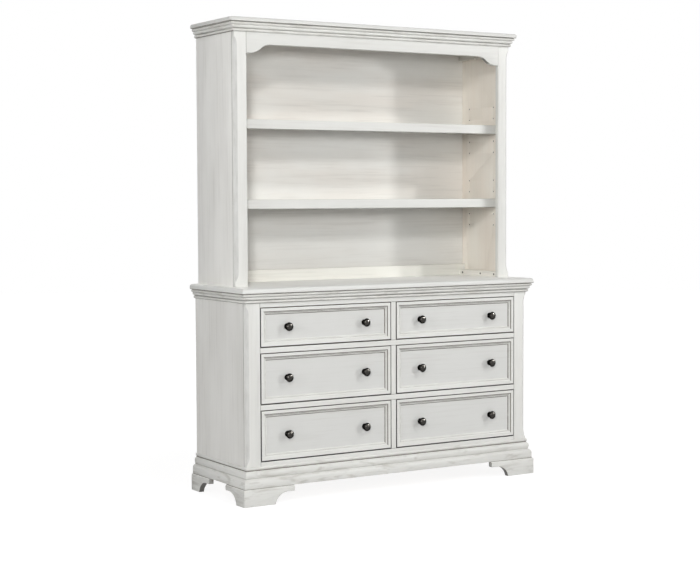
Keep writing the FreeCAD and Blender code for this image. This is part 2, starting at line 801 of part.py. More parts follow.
def knob(name, x, z):
    """A round knob turned about its axis, with a hole for its screw."""
    body = new_body(name, x, face + sz.panel_sink, z)
    sketch = sketch_on(body, "XY_Plane", name + "_shape")
    crown = -sz.knob_length
    rim = crown + sz.knob_rim_back
    radius = sz.knob_width / 2
    bore = hole_width / 2
    shoulder = -sz.knob_plate
    neck_end = shoulder - 2 * sz.knob_plate
    outline(sketch, [
        (bore, 0),
        (sz.knob_foot, 0),
        (sz.knob_foot, shoulder),
        (sz.knob_neck, shoulder - sz.knob_plate / 2),
        (sz.knob_neck, neck_end),
        (radius, rim, "y", rim, -1),
        (0, crown, "x", 0, -1),
        (0, -sz.knob_bore),
        (bore, -sz.knob_bore),
    ])
    turned = body.newObject("PartDesign::Revolution", name + "_Turned")
    turned.Profile = sketch
    turned.ReferenceAxis = (sketch, ["V_Axis"])
    turned.Angle = 360
    doc.recompute()
    return body


def screw(name, length, at, axis):
    """A screw whose shank starts at a place and runs along an axis, with its head behind it."""
    rotation = FreeCAD.Rotation(FreeCAD.Vector(0, 0, 1), FreeCAD.Vector(*axis))
    head = doc.addObject("Part::Cylinder", name + "_head")
    bind(head, "Radius", sz.screw_head / 2)
    bind(head, "Height", sz.screw_head_thick)
    bind(head, "Placement.Base.z", -sz.screw_head_thick)
    shank = doc.addObject("Part::Cylinder", name + "_shank")
    bind(shank, "Radius", sz.screw_width / 2)
    bind(shank, "Height", length)
    whole = doc.addObject("Part::Fuse", name)
    whole.Base = head
    whole.Tool = shank
    whole.Placement = FreeCAD.Placement(FreeCAD.Vector(), rotation)
    return place(whole, *at)


def build_drawer(label, row, side):
    """One drawer with its front, box, bottom and two knobs."""
    gap = sz.drawer_gap
    x = on_side((stile_half + gap, post_inner - gap), side)
    low = row_low[row]
    high = row_high[row]
    front_low = low + gap
    front_height = high - low - 2 * gap
    drawer_front(label + "_front", x, front_low, front_height)
    drawer_box(label, x, low + sz.run_gap, high - low - sz.run_gap - sz.box_drop)
    middle = (x[0] + x[1]) / 2
    level = front_low + front_height / 2
    pieces = []
    shank = sz.front_thick - sz.panel_sink + sz.knob_bore - sz.knob_plate
    for way, name in ((-1, "left"), (1, "right")):
        spot = middle + way * sz.knob_reach
        pieces.append(knob("%s_knob_%s" % (label, name), spot, level))
        pieces.append(screw("%s_screw_%s" % (label, name), shank, (spot, behind_face, level),
                            (0, -1, 0)))
    node(label + "_knobs", group(label + "_knobs", pieces))


# ---- hutch -----------------------------------------------------------------------------------


def cleat_screw_places():
    """Places of the screws along a low cleat, from the back."""
    rear = hutch_panel - sz.rear_rail_thick
    return [rear - sz.screw_inset, rear - sz.screw_middle, hutch_behind + sz.screw_inset]


def hutch_side():
    """Left side of the hutch, with its pin holes and the pilot holes for its low cleat."""
    label = "hutch_side_left"
    body = new_body(label, -hutch_half, 0, top_level)
    plan = sketch_on(body, "YZ_Plane", label + "_plan")
    rectangle(plan, (hutch_behind, back), (0, crown_low - top_level))
    pad(body, plan, sz.hutch_side_thick)

    pilots = sketch_on(body, "YZ_Plane", label + "_pilots")
    bind(pilots, "AttachmentOffset.Base.z", sz.hutch_side_thick)
    circles(pilots, hole_width, [(y, sz.low_cleat_height / 2) for y in cleat_screw_places()])
    pocket(body, pilots, sz.pilot_depth)

    holes = sketch_on(body, "YZ_Plane", label + "_holes")
    bind(holes, "AttachmentOffset.Base.z", sz.hutch_side_thick)
    lowest = [sz.lower_pin_height - 2 * sz.pin_pitch, sz.upper_pin_height - 2 * sz.pin_pitch]
    columns = [back - sz.pin_back, back - sz.pin_front]
    circles(holes, sz.pin_width + 2 * sz.pin_clear, [(y, z) for y in columns for z in lowest])
    first = pocket(body, holes, sz.pin_hole_depth)
    rows = body.newObject("PartDesign::LinearPattern", label + "_rows")
    rows.Originals = [first]
    rows.Direction = (holes, ["V_Axis"])
    bind(rows, "Length", 4 * sz.pin_pitch)
    rows.Occurrences = 5
    body.Tip = rows
    doc.recompute()
    return body


def arched_rail():
    """Rail whose lower edge rises in a double curve from a flat shoulder at each end."""
    label = "hutch_arch_rail"
    body = new_body(label, 0, hutch_behind, crown_low)
    sketch = sketch_on(body, "XZ_Plane", label + "_shape")
    end = hutch_opening
    shoulder = end - sz.arch_shoulder
    inner = shoulder - sz.arch_sweep
    halfway = (shoulder + inner) / 2
    low = -sz.arch_drop
    high = low + sz.arch_rise
    mid = (low + high) / 2
    outline(sketch, [
        (-end, 0),
        (-end, low),
        (-shoulder, low),
        (-halfway, mid, "x", -shoulder, 1),
        (-inner, high, "x", -inner, -1),
        (inner, high),
        (halfway, mid, "x", inner, -1),
        (shoulder, low, "x", shoulder, 1),
        (end, low),
        (end, 0),
    ])
    pad(body, sketch, sz.hutch_face_thick)
    return node(label, body)


def build_shelf(label, pin_level):
    """A shelf board with a deep lip along its front."""
    low = pin_level + sz.pin_width / 2 + sz.pin_clear
    high = low + sz.shelf_thick
    x = (-hutch_inner + sz.shelf_play, hutch_inner - sz.shelf_play)
    lip_front = back - sz.shelf_front
    lip_back = lip_front + sz.shelf_lip_thick
    plank = board(label + "_plank", x, (lip_back, hutch_panel - sz.shelf_play), (low, high))
    lip = board(label + "_lip", x, (lip_front, lip_back), (high - sz.shelf_lip_height, high))
    node(label, group(label, [plank, lip]))


def build_cleats():
    """Cleats in the bottom and top corners of the hutch, and the screws that hold them."""
    cleats = []
    screws = []
    sunk = sz.counterbore
    bore = sz.screw_head + 2 * sz.screw_clear
    low_y = (hutch_behind, hutch_panel - sz.rear_rail_thick)
    high_y = (hutch_panel - sz.high_cleat_length, hutch_panel)
    for side, name in ((-1, "left"), (1, "right")):
        plain = board("low_cleat_plain_" + name,
                      on_side((hutch_inner - sz.low_cleat_width, hutch_inner), side), low_y,
                      (top_level, top_level + sz.low_cleat_height))
        level = top_level + sz.low_cleat_height / 2
        start = side * (hutch_inner - sz.low_cleat_width)
        seat = side * (hutch_inner - sz.low_cleat_width + sunk)
        tools = []
        for number, y in enumerate(cleat_screw_places()):
            tag = "%s_%d" % (name, number)
            tools.append(cylinder("low_hole_" + tag, hole_width, sz.low_cleat_width,
                                  (start, y, level), (side, 0, 0)))
            tools.append(cylinder("low_bore_" + tag, bore, sunk, (start, y, level), (side, 0, 0)))
            length = sz.low_cleat_width - sunk + sz.pilot_depth - sz.screw_head_thick
            screws.append(screw("low_screw_" + tag, length, (seat, y, level), (side, 0, 0)))
        cleats.append(cut("low_cleat_" + name, plain, tools))

        plain = board("high_cleat_plain_" + name,
                      on_side((hutch_inner - sz.high_cleat_width, hutch_inner), side), high_y,
                      (ceiling_low - sz.high_cleat_height, ceiling_low))
        spot_x = side * (hutch_inner - sz.high_cleat_width / 2)
        spot_y = hutch_panel - sz.high_screw_inset
        under = ceiling_low - sz.high_cleat_height
        tools = [
            cylinder("high_hole_" + name, hole_width, sz.high_cleat_height,
                     (spot_x, spot_y, under), (0, 0, 1)),
            cylinder("high_bore_" + name, bore, sunk, (spot_x, spot_y, under), (0, 0, 1)),
        ]
        length = sz.high_cleat_height - sunk + sz.pilot_depth - sz.screw_head_thick
        screws.append(screw("high_screw_" + name, length, (spot_x, spot_y, under + sunk), (0, 0, 1)))
        cleats.append(cut("high_cleat_" + name, plain, tools))
    node("hutch_cleats", group("hutch_cleats", cleats))
    node("hutch_screws", group("hutch_screws", screws))


def build_pins():
    """Eight pins, four under each shelf."""
    pins = []
    length = sz.pin_reach + sz.pin_hole_depth - sz.pin_clear
    for height in (sz.lower_pin_height, sz.upper_pin_height):
        for depth in (sz.pin_back, sz.pin_front):
            for side in (-1, 1):
                start = (side * (hutch_inner - sz.pin_reach), back - depth, top_level + height)
                pins.append(cylinder("pin_%d" % len(pins), sz.pin_width, length, start, (side, 0, 0)))
    node("shelf_pins", group("shelf_pins", pins))


def build_hutch():
    """Crown, sides, face, back, ceiling, shelves and cleats."""
    rounded_slab("crown_top", hutch_reach, hutch_face - sz.overhang, crown_low, sz.crown_thick,
                 sz.crown_round, sz.crown_under)
    moulding("crown_moulding", crown_profile(), hutch_half, hutch_face, crown_low, SMALL_BOTTOM)

    left_side = hutch_side()
    node("hutch_side_left", left_side)
    node("hutch_side_right", mirror("hutch_side_right", left_side))
    left_stile = chamfered_post("hutch_stile_left", sz.hutch_stile_width, sz.hutch_face_thick,
                                top_level, crown_low, sz.post_chamfer, sz.stile_stop_high,
                                sz.stile_stop_low, hutch_half, hutch_face)
    node("hutch_stile_left", left_stile)
    node("hutch_stile_right", mirror("hutch_stile_right", left_stile))
    arched_rail()

    inner_x = (-hutch_inner, hutch_inner)
    node("hutch_back",
         board("hutch_back", inner_x, (hutch_panel, hutch_panel_back), (top_level, crown_low)))
    node("hutch_rear_rail",
         board("hutch_rear_rail", inner_x, (hutch_panel - sz.rear_rail_thick, hutch_panel),
               (top_level, top_level + sz.rear_rail_height)))
    pilots = []
    for side in (-1, 1):
        spot = (side * (hutch_inner - sz.high_cleat_width / 2), hutch_panel - sz.high_screw_inset,
                ceiling_low)
        pilots.append(cylinder("ceiling_pilot_%d" % (side + 1), hole_width, sz.pilot_depth, spot,
                               (0, 0, 1)))
    plain = board("ceiling_plain", inner_x, (hutch_behind, hutch_panel), (ceiling_low, ceiling_high))
    node("hutch_ceiling", cut("hutch_ceiling", plain, pilots))

    build_shelf("hutch_shelf_lower", top_level + sz.lower_pin_height)
    build_shelf("hutch_shelf_upper", top_level + sz.upper_pin_height)
    build_pins()
    build_cleats()


# ---- check and write -------------------------------------------------------------------------


def check_and_write():
    """Stop if anything failed, then write one file for each sub-part."""
    doc.recompute()
    for thing in doc.Objects:
        if "Invalid" in thing.State or "Error" in thing.State:
            raise RuntimeError(thing.Name + " failed")
    for thing in nodes:
        shape = thing.Shape
        if shape.isNull() or not shape.isValid():
            raise RuntimeError(thing.Label + " has no valid shape")
    os.makedirs("parts", exist_ok=True)
    for thing in nodes:
        thing.Shape.exportStep("parts/%s.step" % thing.Label)
    print("%d sub-parts" % len(nodes))


build_case()
for row, row_name in enumerate(("lower", "middle", "upper")):
    for side, side_name in ((-1, "left"), (1, "right")):
        build_drawer("drawer_%s_%s" % (row_name, side_name), row, side)
build_hutch()
check_and_write()
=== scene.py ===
"""Dresser with a two-shelf hutch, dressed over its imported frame.

Each class builds one sub-assembly at its own sizes, in metres, and dresses it in a finish. The
origin is on the floor under the middle; X runs right, Y back and Z up.
"""
import json
import logging
import math
from contextlib import contextmanager
from dataclasses import dataclass
from enum import Enum
from typing import Any, Callable, Iterator, Optional, Sequence, Union

import bmesh
import bpy
from mathutils import Matrix, Vector

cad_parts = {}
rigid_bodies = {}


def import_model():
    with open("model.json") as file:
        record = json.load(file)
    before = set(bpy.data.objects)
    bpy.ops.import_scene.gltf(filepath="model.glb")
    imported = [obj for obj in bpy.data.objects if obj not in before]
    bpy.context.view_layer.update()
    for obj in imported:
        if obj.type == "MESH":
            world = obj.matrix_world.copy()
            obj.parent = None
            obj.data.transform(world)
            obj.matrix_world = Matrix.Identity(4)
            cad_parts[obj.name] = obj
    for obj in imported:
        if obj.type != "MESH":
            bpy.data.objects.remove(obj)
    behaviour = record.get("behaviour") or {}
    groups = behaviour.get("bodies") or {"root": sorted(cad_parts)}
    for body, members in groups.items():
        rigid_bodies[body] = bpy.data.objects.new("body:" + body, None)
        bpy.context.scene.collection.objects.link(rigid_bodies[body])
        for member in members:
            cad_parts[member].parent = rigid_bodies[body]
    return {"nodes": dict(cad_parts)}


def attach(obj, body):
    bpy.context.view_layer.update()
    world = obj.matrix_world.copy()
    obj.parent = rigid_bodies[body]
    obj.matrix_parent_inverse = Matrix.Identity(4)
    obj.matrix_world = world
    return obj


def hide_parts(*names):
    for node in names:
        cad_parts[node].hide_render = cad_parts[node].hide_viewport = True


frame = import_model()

logging.basicConfig(level=logging.INFO, format="%(message)s")
log = logging.getLogger("dresser")

Triple = tuple[float, float, float]
Pair = tuple[float, float]
Colour = tuple[float, float, float, float]
Mesh = bpy.types.Object
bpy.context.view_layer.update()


def srgb(red: int, green: int, blue: int) -> Colour:
    """Linear colour of a paint-chip value.

    Args:
        red: red from 0 to 255.
        green: green from 0 to 255.
        blue: blue from 0 to 255.

    Returns:
        The colour as a shader takes it.
    """
    def linear(value: int) -> float:
        """One channel, made linear."""
        share = value / 255
        return share / 12.92 if share <= 0.04045 else ((share + 0.055) / 1.055) ** 2.4

    return (linear(red), linear(green), linear(blue), 1.0)


# ---- shader maths ----------------------------------------------------------------------------


class Signal:
    """A value in a material, written in arithmetic."""

    def __init__(self, shader: "Shader", socket: bpy.types.NodeSocket) -> None:
        """Wrap an output of a shader's node tree."""
        self.shader = shader
        self.socket = socket

    def _math(self, operation: str, first: "Number", second: "Number") -> "Signal":
        """The result of a Math node's operation on two numbers."""
        return self.shader.node("ShaderNodeMath", {"operation": operation}, {0: first, 1: second})

    def __add__(self, other: "Number") -> "Signal":
        """Sum."""
        return self._math("ADD", self, other)

    __radd__ = __add__

    def __mul__(self, other: "Number") -> "Signal":
        """Product."""
        return self._math("MULTIPLY", self, other)

    __rmul__ = __mul__

    def __sub__(self, other: "Number") -> "Signal":
        """Difference."""
        return self._math("SUBTRACT", self, other)

    def __rsub__(self, other: "Number") -> "Signal":
        """Difference from a number."""
        return self._math("SUBTRACT", other, self)

    def most(self, other: "Number") -> "Signal":
        """The larger of two values."""
        return self._math("MAXIMUM", self, other)


Number = Union[Signal, float]


class Shader:
    """One material's node tree."""

    def __init__(self, name: str) -> None:
        """Start an empty material.

        Args:
            name: the material's name.
        """
        self.material = bpy.data.materials.new(name)
        self.material.use_nodes = True
        self.tree = self.material.node_tree
        self.tree.nodes.clear()

    def node(self, kind: str, settings: Optional[dict[str, Any]] = None,
             values: Optional[dict[Any, Any]] = None, out: Union[int, str] = 0) -> Signal:
        """Add a node.

        Args:
            kind: the node's type.
            settings: its properties, which are set first.
            values: a link or a constant for each socket, by name or number.
            out: the output that is wanted.

        Returns:
            That output.
        """
        made = self.tree.nodes.new(kind)
        for name, value in (settings or {}).items():
            setattr(made, name, value)
        for name, value in (values or {}).items():
            if isinstance(value, Signal):
                self.tree.links.new(value.socket, made.inputs[name])
            else:
                made.inputs[name].default_value = value
        return Signal(self, made.outputs[out]) if len(made.outputs) else Signal(self, None)

    def place(self, turn: Triple = (0.0, 0.0, 0.0), stretch: Triple = (1.0, 1.0, 1.0)) -> Signal:
        """Object coordinates, turned and then stretched.

        Args:
            turn: angles about X, Y and Z.
            stretch: how many times as often a pattern repeats along each axis.

        Returns:
            The coordinates.
        """
        found = self.node("ShaderNodeTexCoord", out="Object")
        if any(turn):
            found = self.node("ShaderNodeMapping", None, {"Vector": found, "Rotation": turn})
        return self.node("ShaderNodeMapping", None, {"Vector": found, "Scale": stretch})

    def noise(self, place: Signal, scale: float, detail: float = 2.0, rough: float = 0.5,
              distort: float = 0.0) -> Signal:
        """Noise from 0 to 1.

        Args:
            place: the coordinates it is read at.
            scale: repeats in a metre.
            detail: number of finer layers.
            rough: strength of the finer layers.
            distort: how far the pattern is pulled about.

        Returns:
            The noise.
        """
        return self.node("ShaderNodeTexNoise", None, {
            "Vector": place, "Scale": scale, "Detail": detail, "Roughness": rough,
            "Distortion": distort}, "Fac")

    def grain(self, turn: Triple, along: float, scale: float, *layers: float) -> Signal:
        """Noise drawn out along the grain, with the same further settings as other noise."""
        return self.noise(self.place(turn, (along, 1.0, 1.0)), scale, *layers)

    def step(self, value: Signal, low: float, high: float) -> Signal:
        """A soft step from 0 at the low level to 1 at the high one."""
        return self.node("ShaderNodeMapRange", {"interpolation_type": "SMOOTHSTEP"}, {
            "Value": value, "From Min": low, "From Max": high})

    def attribute(self, name: str) -> Signal:
        """A number that the mesh carries."""
        return self.node("ShaderNodeAttribute", {"attribute_name": name}, out="Fac")

    def blend(self, share: Number, first: Any, second: Any) -> Signal:
        """Two colours mixed, by the share of the second."""
        return self.node("ShaderNodeMix", {"data_type": "RGBA"}, {0: share, 6: first, 7: second}, 2)

    def surface(self, values: dict[str, Any], height: Optional[Signal] = None,
                depth: float = 0.0) -> bpy.types.Material:
        """Finish the material with a Principled shader.

        Args:
            values: links and constants of the shader.
            height: bump height from 0 to 1.
            depth: the bump's depth in metres.

        Returns:
            The material.
        """
        if height:
            values = dict(values, Normal=self.node("ShaderNodeBump", None, {
                "Strength": 1.0, "Distance": depth, "Height": height}, "Normal"))
        shader = self.node("ShaderNodeBsdfPrincipled", None, values)
        self.node("ShaderNodeOutputMaterial", None, {"Surface": shader})
        return self.material


# ---- finishes --------------------------------------------------------------------------------


class Grain(Enum):
    """Which way the brush strokes and the grain run, as the turn that lays them along X."""

    ACROSS = (0.0, 0.0, 0.0)
    DEEP = (0.0, 0.0, math.pi / 2)
    UPRIGHT = (0.0, math.pi / 2, 0.0)


@dataclass(frozen=True)
class BrushedPaint:
    """White paint brushed thinly over grey wood, with glaze and painted shade in the grooves and gaps.
    """

    name: str
    grain: Grain
    paint: Colour = srgb(223, 223, 219)
    shade: Colour = srgb(206, 204, 199)
    wood: Colour = srgb(178, 175, 168)
    # The grey veil colour is mostly painted shade on faces turned from the light; the glaze colour
    # darkens grooves as glaze and painted shade; the hollow colour is near-black painted shade in gaps
    # and holes.
    veil_and_shade: Colour = srgb(211, 211, 208)
    glaze: Colour = srgb(104, 99, 91)
    hollow: Colour = srgb(52, 49, 45)
    streaks: float = 0.16
    patches: float = 0.25
    blotches: float = 0.0
    rough: float = 0.48
    relief: float = 0.00012
    seam: Optional[float] = None
    seam_edges: Pair = (0.0012, 0.0045)

    def coats(self, shader: Shader, speck: Signal) -> tuple[Signal, Signal]:
        """How much glaze with painted shade, and how much near-black painted gap shade, a spot holds.

        Args:
            shader: the node tree.
            speck: the pattern that breaks them up.

        Returns:
            The share of glaze with painted shade, and the share of painted gap shade.
        """
        held = shader.attribute("glaze")
        if self.seam is not None:
            depth = shader.node("ShaderNodeSeparateXYZ", None, {0: shader.place()}, "Y")
            away = shader.node("ShaderNodeMath", {"operation": "ABSOLUTE"}, {0: depth - self.seam})
            held = held.most(0.62 - 0.62 * shader.step(away, *self.seam_edges))
        return shader.step(held * (0.5 + speck), 0.25, 0.85), shader.attribute("gap")

    def make(self) -> bpy.types.Material:
        """The material."""
        shader = Shader(self.name)
        turn = self.grain.value
        broad = shader.grain(turn, 0.3, 6.0, 3.0)
        strokes = shader.grain(turn, 0.04, 90.0, 3.0, 0.6)
        fine = shader.grain(turn, 0.02, 700.0, 2.0)
        speck = shader.grain(turn, 0.2, 55.0, 4.0, 0.65)
        cloud = shader.grain(turn, 0.22, 38.0, 3.0, 0.55, 0.6)
        patch = shader.step(broad, 0.32, 0.68)
        thin = shader.step(strokes, 0.45, 0.75) * (0.35 + patch)
        glaze_and_shade, dark = self.coats(shader, speck)
        worn = shader.step(shader.attribute("wear") * (0.25 + speck), 0.55, 0.9)
        colour = shader.blend(patch * self.patches, self.paint, self.shade)
        # The grey veil: mostly painted shade on faces turned from the light.
        colour = shader.blend(shader.attribute("veil_and_shade"), colour, self.veil_and_shade)
        colour = shader.blend(thin * self.streaks, colour, self.wood)
        if self.blotches:
            blotch = shader.step(cloud, 0.5, 0.72).most(shader.step(speck, 0.58, 0.74) * 0.8)
            colour = shader.blend(blotch * self.blotches, colour, self.wood)
        colour = shader.blend(worn * 0.3, colour, self.wood)
        # Glaze darkens grooves and creases, and stands partly for painted shade there.
        colour = shader.blend(glaze_and_shade * 0.9, colour, self.glaze)
        # The near-black painted shade of gaps, holes and undersides.
        colour = shader.blend(dark, colour, self.hollow)
        return shader.surface({
            "Base Color": colour,
            "Roughness": self.rough + thin * 0.12 + glaze_and_shade * 0.2,
        }, strokes * 0.6 + fine * 0.4, self.relief)


@dataclass(frozen=True)
class PlainWood:
    """Clear pale wood of the inner boards, runners and drawer boxes."""

    name: str
    grain: Grain
    light: Colour = srgb(205, 180, 144)
    dark: Colour = srgb(165, 133, 96)
    relief: float = 0.0002

    def make(self) -> bpy.types.Material:
        """The material."""
        shader = Shader(self.name)
        turn = self.grain.value
        bent = shader.grain(turn, 0.35, 9.0, 2.0, 0.5, 1.5)
        rings = shader.grain(turn, 0.03, 110.0, 3.0, 0.6)
        pores = shader.grain(turn, 0.02, 900.0, 2.0)
        tone = shader.step(bent * 0.5 + rings * 0.5, 0.3, 0.72)
        colour = shader.blend(tone, self.light, self.dark)
        colour = shader.blend(shader.step(pores, 0.58, 0.75) * 0.35, colour, self.dark)
        return shader.surface({"Base Color": colour, "Roughness": 0.55 + pores * 0.2},
                              pores, self.relief)


@dataclass(frozen=True)
class DarkBronze:
    """Oil-rubbed bronze of the knobs, near-black but for a lighter domed face."""

    name: str = "dark_bronze_finish"
    dome: Colour = srgb(62, 60, 57)
    rim: Colour = srgb(17, 16, 15)
    relief: float = 0.00001

    def make(self) -> bpy.types.Material:
        """The material."""
        shader = Shader(self.name)
        cloud = shader.noise(shader.place(), 180.0, 3.0)
        colour = shader.blend(shader.attribute("gap") * (0.86 + cloud * 0.28), self.dome, self.rim)
        return shader.surface({
            "Base Color": colour,
            "Metallic": 1.0,
            "Specular Tint": (0.5, 0.5, 0.5, 1.0),
            "Roughness": 0.19 + cloud * 0.06,
        }, cloud, self.relief)


@dataclass(frozen=True)
class PlainSteel:
    """Zinc-plated steel of the pins and screws."""

    name: str = "plain_steel_finish"
    light: Colour = srgb(196, 196, 192)
    dull: Colour = srgb(140, 140, 138)
    relief: float = 0.0001

    def make(self) -> bpy.types.Material:
        """The material."""
        shader = Shader(self.name)
        cloud = shader.noise(shader.place(), 300.0, 3.0)
        return shader.surface({
            "Base Color": shader.blend(cloud, self.light, self.dull),
            "Metallic": 1.0,
            "Roughness": 0.3 + cloud * 0.2,
        }, cloud, self.relief)


# The inside of the hutch takes a lighter copy of the white paint: painted light on the back panel.
INSIDE = srgb(247, 246, 241)
INSIDE_SHADE = srgb(238, 232, 224)

PAINT_ACROSS = BrushedPaint("brushed_white_across", Grain.ACROSS).make()
# A lighter copy for the top surfaces: painted light on the slab's top.
PAINT_TOP = BrushedPaint("brushed_white_top", Grain.ACROSS, srgb(251, 251, 247), srgb(245, 244, 240),
                         rough=0.55).make()
PAINT_CROWN = BrushedPaint("brushed_white_crown", Grain.ACROSS, rough=0.66).make()
# A darker copy for the shelves and the arched rail: painted shade on the hutch's front pieces.
PAINT_SHELF = BrushedPaint("brushed_white_shelf", Grain.ACROSS, srgb(217, 217, 213), srgb(203, 201, 196),
                           streaks=0.2).make()
PAINT_UPRIGHT = BrushedPaint("brushed_white_upright", Grain.UPRIGHT).make()
PAINT_MOULDED = BrushedPaint("brushed_white_moulded", Grain.ACROSS, blotches=0.6).make()
# A slightly darker copy for the side returns of the mouldings and feet: painted shade on the sides.
PAINT_RETURN = BrushedPaint("brushed_white_return", Grain.DEEP, srgb(221, 221, 217), srgb(201, 199, 194),
                            blotches=0.65).make()
PAINT_INSIDE = BrushedPaint("brushed_white_inside", Grain.ACROSS, INSIDE, INSIDE_SHADE,
                            streaks=0.16, patches=0.7).make()
# The rear rail's copy, darker than the rest of the inside: painted shade low in the hutch.
PAINT_RAIL = BrushedPaint("brushed_white_rail", Grain.ACROSS, srgb(239, 239, 232), srgb(229, 226, 218),
                          patches=0.7).make()
# Lighter copies of the white paint for the sides, lightest on the hutch: painted light on the sides.
PAINT_CASE_SIDE = BrushedPaint("brushed_white_case_side", Grain.UPRIGHT, srgb(228, 227, 223),
                               streaks=0.22, patches=0.5, seam=-0.190).make()
PAINT_HUTCH_SIDE = BrushedPaint("brushed_white_hutch_side", Grain.UPRIGHT, srgb(241, 240, 236),
                                patches=0.4, seam=-0.082).make()
# A lighter, warmer copy for the inner faces of the hutch's sides: painted light, with warm painted shade
# in its patches.
PAINT_WALL = BrushedPaint("brushed_white_wall", Grain.UPRIGHT, srgb(236, 231, 221), srgb(229, 219, 207),
                          streaks=0.1, patches=0.8).make()
PAINT_CLEAT = BrushedPaint("brushed_white_cleat", Grain.DEEP, srgb(236, 233, 225)).make()
# A dark grey copy for the hutch's ceiling: painted shade that darkens the top of the top bay.
PAINT_CEILING_SHADE = BrushedPaint("thin_white_wash", Grain.ACROSS, srgb(124, 119, 110), srgb(108, 102, 93),
                          streaks=0.4, patches=0.6).make()
WOOD_ACROSS = PlainWood("plain_wood_across", Grain.ACROSS).make()
WOOD_DEEP = PlainWood("plain_wood_deep", Grain.DEEP).make()
BRONZE = DarkBronze().make()
STEEL = PlainSteel().make()
DARK_STEEL = PlainSteel("dark_steel_finish", srgb(86, 84, 80), srgb(52, 50, 48)).make()


# ---- bench tools -----------------------------------------------------------------------------


MM = 0.001

# Two places closer than TOUCH are level, and two points closer than MERGE are one. A normal with
# a part over FLAT along an axis belongs to a flat face.
TOUCH = 1e-5
MERGE = 1e-6
FLAT = 0.999

# An eased edge reaches less than EASED. The rim beside it is RIM wide, and a face narrower than
# that counts as a corner. A corner bent by FULL_BEND degrees wears or soils in full, and one bent
# by less than SMOOTH is shaded smooth.
EASED = 0.0009
RIM = 0.004
FULL_BEND = 20
SMOOTH = math.radians(32)

# Driving sizes: half the dresser's width over its slab and feet, and how far they reach forwards
# and back.
REACH = 0.722
FRONT = -0.236
BACK = 0.236


@dataclass(frozen=True)
class Plane:
    """A drawing plane: where its origin is and which way its two axes run."""

    origin: Triple
    along: Triple
    up: Triple

    def at(self, point: Pair) -> Vector:
        """The place of a point drawn on the plane."""
        return Vector(self.origin) + Vector(self.along) * point[0] + Vector(self.up) * point[1]

    def normal(self) -> Vector:
        """The direction out of the plane, about which arcs turn."""
        return Vector(self.along).cross(Vector(self.up))


@dataclass(frozen=True)
class Arc:
    """An arc of an outline, about a centre on the line across or on the line level."""

    end: Pair
    way: int
    across: Optional[float] = None
    level: Optional[float] = None

    def centre(self, start: Pair) -> Pair:
        """The centre, as far from the start as from the end.

        Args:
            start: the point that the arc leaves.

        Returns:
            The centre.
        """
        (a, b), (c, d) = start, self.end
        if self.across is not None:
            x = self.across
            return x, ((c - x) ** 2 - (a - x) ** 2 + d * d - b * b) / (2 * (d - b))
        y = self.level
        return ((d - y) ** 2 - (b - y) ** 2 + c * c - a * a) / (2 * (c - a)), y

    def angle(self, start: Pair) -> float:
        """The signed angle it turns through, anticlockwise on the plane.

        Args:
            start: the point that the arc leaves.

        Returns:
            The angle in radians.
        """
        x, y = self.centre(start)
        first = math.atan2(start[1] - y, start[0] - x)
        last = math.atan2(self.end[1] - y, self.end[0] - x)
        turned = (last - first) * self.way % math.tau
        return self.way * turned


